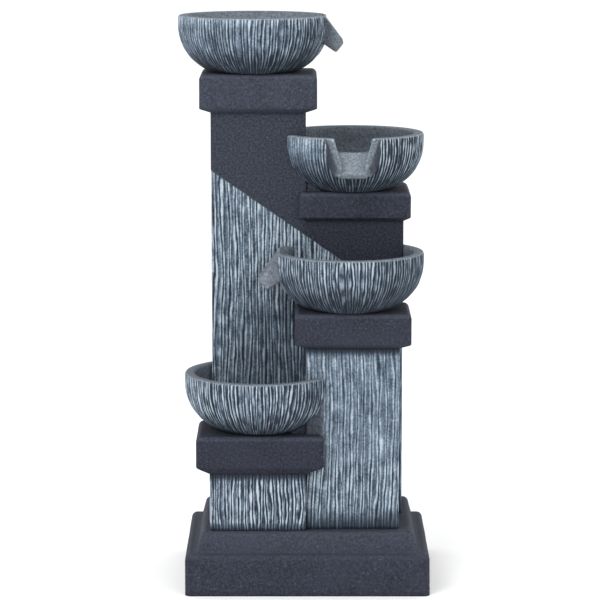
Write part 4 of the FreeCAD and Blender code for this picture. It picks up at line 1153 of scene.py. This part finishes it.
def spout_paint(point, style):
    """The wash on the outside of a spout: fuller on top and at the tip than on its sides, which are kept
    dark as painted shade.
    """
    out = math.hypot(point.x, point.y) - style["radius"]
    # The spout's sides are kept dark as painted shade, most at the root.
    root, tip = style["flank_wash_and_shade"]
    flank_wash_and_shade = blend(root, tip, eased(out, *FLANK_REACH))
    half = half_width_at(point.x, style["radius"], SPOUT_HALF_WIDTH, SPOUT_TIP_HALF)
    half *= 1 + SPOUT_LEAN * point.z / SPOUT_SIDE["tip_drop"]
    return blend(flank_wash_and_shade, CHEEK_PAINT, eased(half - abs(point.y), *CHEEK_EDGE))


def flute_surface(point, style):
    """Crest height, carved share and paint at a point of a bowl, in its own millimetres."""
    radius = style["radius"]
    depth = -point.z
    gap = outside_radius(radius, depth) - math.hypot(point.x, point.y)
    if in_channel(point, style):
        return 0.0, 0.0, CHANNEL_PAINT
    if gap < -SPOUT_SKIN:
        return 0.0, 0.0, spout_paint(point, style)
    if gap > WALL_SKIN:
        return 0.0, 0.0, blend(style["inside"], RIM_PAINT, 1 - eased(depth, *RIM_EDGE))
    spacing = 2 * math.pi * radius / style["flutes"]
    across = math.atan2(point.y, point.x) * radius
    crest = crest_height(across, point.z * FLUTE_WANDER, spacing, style["seed"], style["even"])
    # The paint thins towards the foot, partly as painted shade.
    foot = blend(FOOT_PAINT_AND_SHADE, 1, eased(BOWL_HEIGHT - depth, *FOOT_FADE_AND_SHADE))
    rim = 1 + style["rim"] * (1 - eased(depth, *RIM_FADE))
    # Painted shade towards the foot.
    down = 1 - style["down"] * eased(depth, *SHADE_DOWN_FADE)
    return crest, eased(depth, *FLUTE_START), style["brush_light_and_shade"] * foot * rim * down


print("flutes are up to", FLUTE_DROP + FLUTE_DEPTH, "mm deep")

# %% [markdown]
# ## Making the bowls
# The order is spin, flute, join the spout, cut the water's way, and cut away what a column beside
# the bowl takes. Those cuts stop two millimetres short of the column's plane, so that the wall runs
# into the grooves and leaves no gap. Where a column stands close beside a bowl's foot, the joint was
# filled with resin, so a small rounded fillet is joined to the bowl there.

# %% Spin and flute the wall
POINTS_PER_FLUTE = 7
SPUN_WELD = 0.001
FLUTE_END = (0.5, 8)


def fluted_wall(style):
    """Spin the wall round its axis, and move its outside in where the flutes are."""
    bm = bmesh.new()
    wall = [bm.verts.new((r, 0, z)) for r, z in bowl_profile(style["radius"], style["stem"])]
    edges = [bm.edges.new(pair) for pair in zip(wall, wall[1:])]
    if style["stem"]:
        edges.append(bm.edges.new((wall[-1], wall[0])))
    bmesh.ops.spin(bm, geom=[*wall, *edges], cent=(0, 0, 0), axis=(0, 0, 1), angle=2 * math.pi,
                   steps=style["flutes"] * POINTS_PER_FLUTE, use_merge=True)
    bmesh.ops.remove_doubles(bm, verts=bm.verts, dist=SPUN_WELD)
    bmesh.ops.recalc_face_normals(bm, faces=bm.faces)
    bm.normal_update()
    moves = []
    for vert in bm.verts:
        crest, share, paint = flute_surface(vert.co, style)
        foot = eased(BOWL_HEIGHT + vert.co.z, *FLUTE_END)
        moves.append((vert, vert.normal * -share * foot * (FLUTE_DROP + FLUTE_DEPTH * (1 - crest))))
    for vert, move in moves:
        vert.co += move
    return bm


print("points round a bowl:", [style["flutes"] * POINTS_PER_FLUTE for style in BOWLS.values()])

# %% Join the spout and the fillet
SPOUT_GRID = 4
FILLET_RADIUS = 4
COLUMN_BITE = 2.0


def join_parts(piece, style):
    """Join spout and fillet to a bowl, and cut out the water's way and the columns beside it."""
    if style["spout"] is not None:
        spout = settle(spout_block(style["radius"]), style)
        channel = settle(channel_block(style["radius"]), style)
        for bm in (spout, channel):
            cut_grid(bm, SPOUT_GRID)
        combine(piece, "UNION", mesh_object("spout", spout))
        combine(piece, "DIFFERENCE", mesh_object("channel", channel))
    if "fillet" in style:
        low, high = [Vector(corner) * MM for corner in style["fillet"]]
        fillet = round_block(low, high, FILLET_RADIUS)
        cut_grid(fillet, SPOUT_GRID)
        combine(piece, "UNION", mesh_object("fillet", fillet))
    bite = Vector((COLUMN_BITE, COLUMN_BITE, 0)) * MM
    for column in style["columns"]:
        low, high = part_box(column)
        high.z = cad_high.z + MM
        combine(piece, "DIFFERENCE", mesh_object("beside", block(low + bite, high - bite)))


print("bowls with a fillet:", [node for node, style in BOWLS.items() if "fillet" in style])

# %% Paint and make the four bowls
FOOT_CONTRAST = 1.0
LEAST_CONTRAST = 0.35
# Painted shade towards the right: where it starts and where it is full.
SHADE_TO_RIGHT = (0.0, 0.8)
FADE_SHIFT = 0.34
FADE_KEPT = 0.5


def bowl_paint(place, style):
    """The values for the paint at a place, in millimetres from the middle of the bowl's rim.

    Contrast grows towards the foot, and towards the right partly as painted light. Paint thins towards
    the foot, partly as painted shade, and is darkened towards the right as painted shade. Part of what
    the paint loses moves the ridge down instead of the paint; where paint is thin, fewer crests are
    touched.
    """
    to_spout = Matrix.Rotation(-math.radians(style["spout"] or 0), 4, "Z")
    crest, share, paint = flute_surface(to_spout @ place, style)
    low_down = 1 - eased(BOWL_HEIGHT + place.z, *FOOT_FADE_AND_SHADE)
    rightward = place.x / style["radius"]
    # The contrast gained to the right is partly painted light from the lamp on the left.
    contrast = style["contrast"] * (1 + FOOT_CONTRAST * low_down + style["sweep_with_light"] * rightward)
    # Painted shade towards the right.
    paint *= 1 - style["right"] * share * eased(rightward, *SHADE_TO_RIGHT)
    thin = share * (1 - paint / style["brush_light_and_shade"])
    paint += FADE_KEPT * thin * style["brush_light_and_shade"]
    ridge, share, paint = paint_values((crest, share, paint), max(LEAST_CONTRAST, contrast))
    return min(1.0, max(0.0, ridge - FADE_SHIFT * thin)), share, paint


def make_bowl(node, style):
    """Make a bowl: spin and flute it, join its parts, and paint it."""
    piece = mesh_object(f"fluted_{node}", settle(fluted_wall(style), style))
    join_parts(piece, style)
    centre = Vector(style["centre"])
    store_values(piece, PAINT_VALUES, lambda vert: bowl_paint(vert.co / MM - centre, style))
    dress(piece, node, "drybrushed_resin", "fountain")


for node, style in BOWLS.items():
    make_bowl(node, style)

# %% [markdown]
# ## Finishes for the solids that stay
# The pump, the plumbing and the rubber pieces have their true shape already, so they only need
# their finish. The record says which slot each of them belongs to. The leaf strainer's many ribs
# leave a few faces without area where they cross, so a welded copy stands in for it.

# %% Give the remaining solids their finish
for subpart in frame["record"]["subparts"]:
    solid = frame["nodes"][subpart["node"]]
    solid.data.materials.clear()
    solid.data.materials.append(finishes[subpart["material_slot"]])

# %% Weld the leaf strainer
strainer = solid_copy("leaf_strainer")
strainer.name = "moulded_leaf_strainer"
dress(strainer, "leaf_strainer", "grey_abs", "leaf_guard")

# %% [markdown]
# ## Floor, light and camera
# The fountain stands on a plain pale floor. A bright sky gives soft light from all round, and a
# broad lamp above the camera's left models the bowls. The camera stands four metres off and looks
# down a little over nine degrees with a long lens, which is how the photograph was taken.

# %% Floor and sky
FLOOR_RADIUS = 30
bm = bmesh.new()
bmesh.ops.create_circle(bm, cap_ends=True, radius=FLOOR_RADIUS, segments=96)
floor = mesh_object("studio_floor", bm)
pale, tree, place = new_finish("pale_studio_floor")
skin = add_node(tree, "ShaderNodeBsdfPrincipled", {"Base Color": linear("fdfdfd"), "Roughness": 0.9})
add_node(tree, "ShaderNodeOutputMaterial", {"Surface": skin.outputs["BSDF"]})
floor.data.materials.append(pale)

sky = bpy.data.worlds.new("studio_sky")
sky.use_nodes = True
sky.node_tree.nodes.clear()
glow = add_node(sky.node_tree, "ShaderNodeBackground",
                {"Color": (1.0, 1.0, 1.0, 1.0), "Strength": 1.12})
add_node(sky.node_tree, "ShaderNodeOutputWorld", {"Surface": glow.outputs["Background"]})
bpy.context.scene.world = sky
print("floor", 2 * FLOOR_RADIUS, "m across")

# %% Lamps
LAMPS = {
    "key": {"at": (-1.9, -3.2, 2.9), "size": 2.0, "power": 75},
    "fill": {"at": (2.6, -2.6, 1.6), "size": 2.4, "power": 22},
}
LAMP_AIM = Vector((0, 0, 0.42))
for name, lamp in LAMPS.items():
    light = bpy.data.lights.new(f"{name}_lamp", "AREA")
    light.energy = lamp["power"]
    light.size = lamp["size"]
    holder = bpy.data.objects.new(f"{name}_lamp", light)
    holder.location = lamp["at"]
    holder.rotation_euler = (LAMP_AIM - holder.location).to_track_quat("-Z", "Y").to_euler()
    bpy.context.scene.collection.objects.link(holder)
bpy.context.scene.view_settings.view_transform = "Standard"
print("lamps:", sorted(LAMPS))

# %% Camera
lens = bpy.data.cameras.new("photo_camera")
lens.sensor_width = 36
lens.lens = 160.2
lens.clip_end = 100
camera = bpy.data.objects.new("photo_camera", lens)
camera.location = (-0.0109, -3.9538, 1.0694)
camera.rotation_euler = (math.radians(80.669), 0, 0)
bpy.context.scene.collection.objects.link(camera)
bpy.context.scene.camera = camera
print("camera with a lens of", round(lens.lens, 1), "mm")
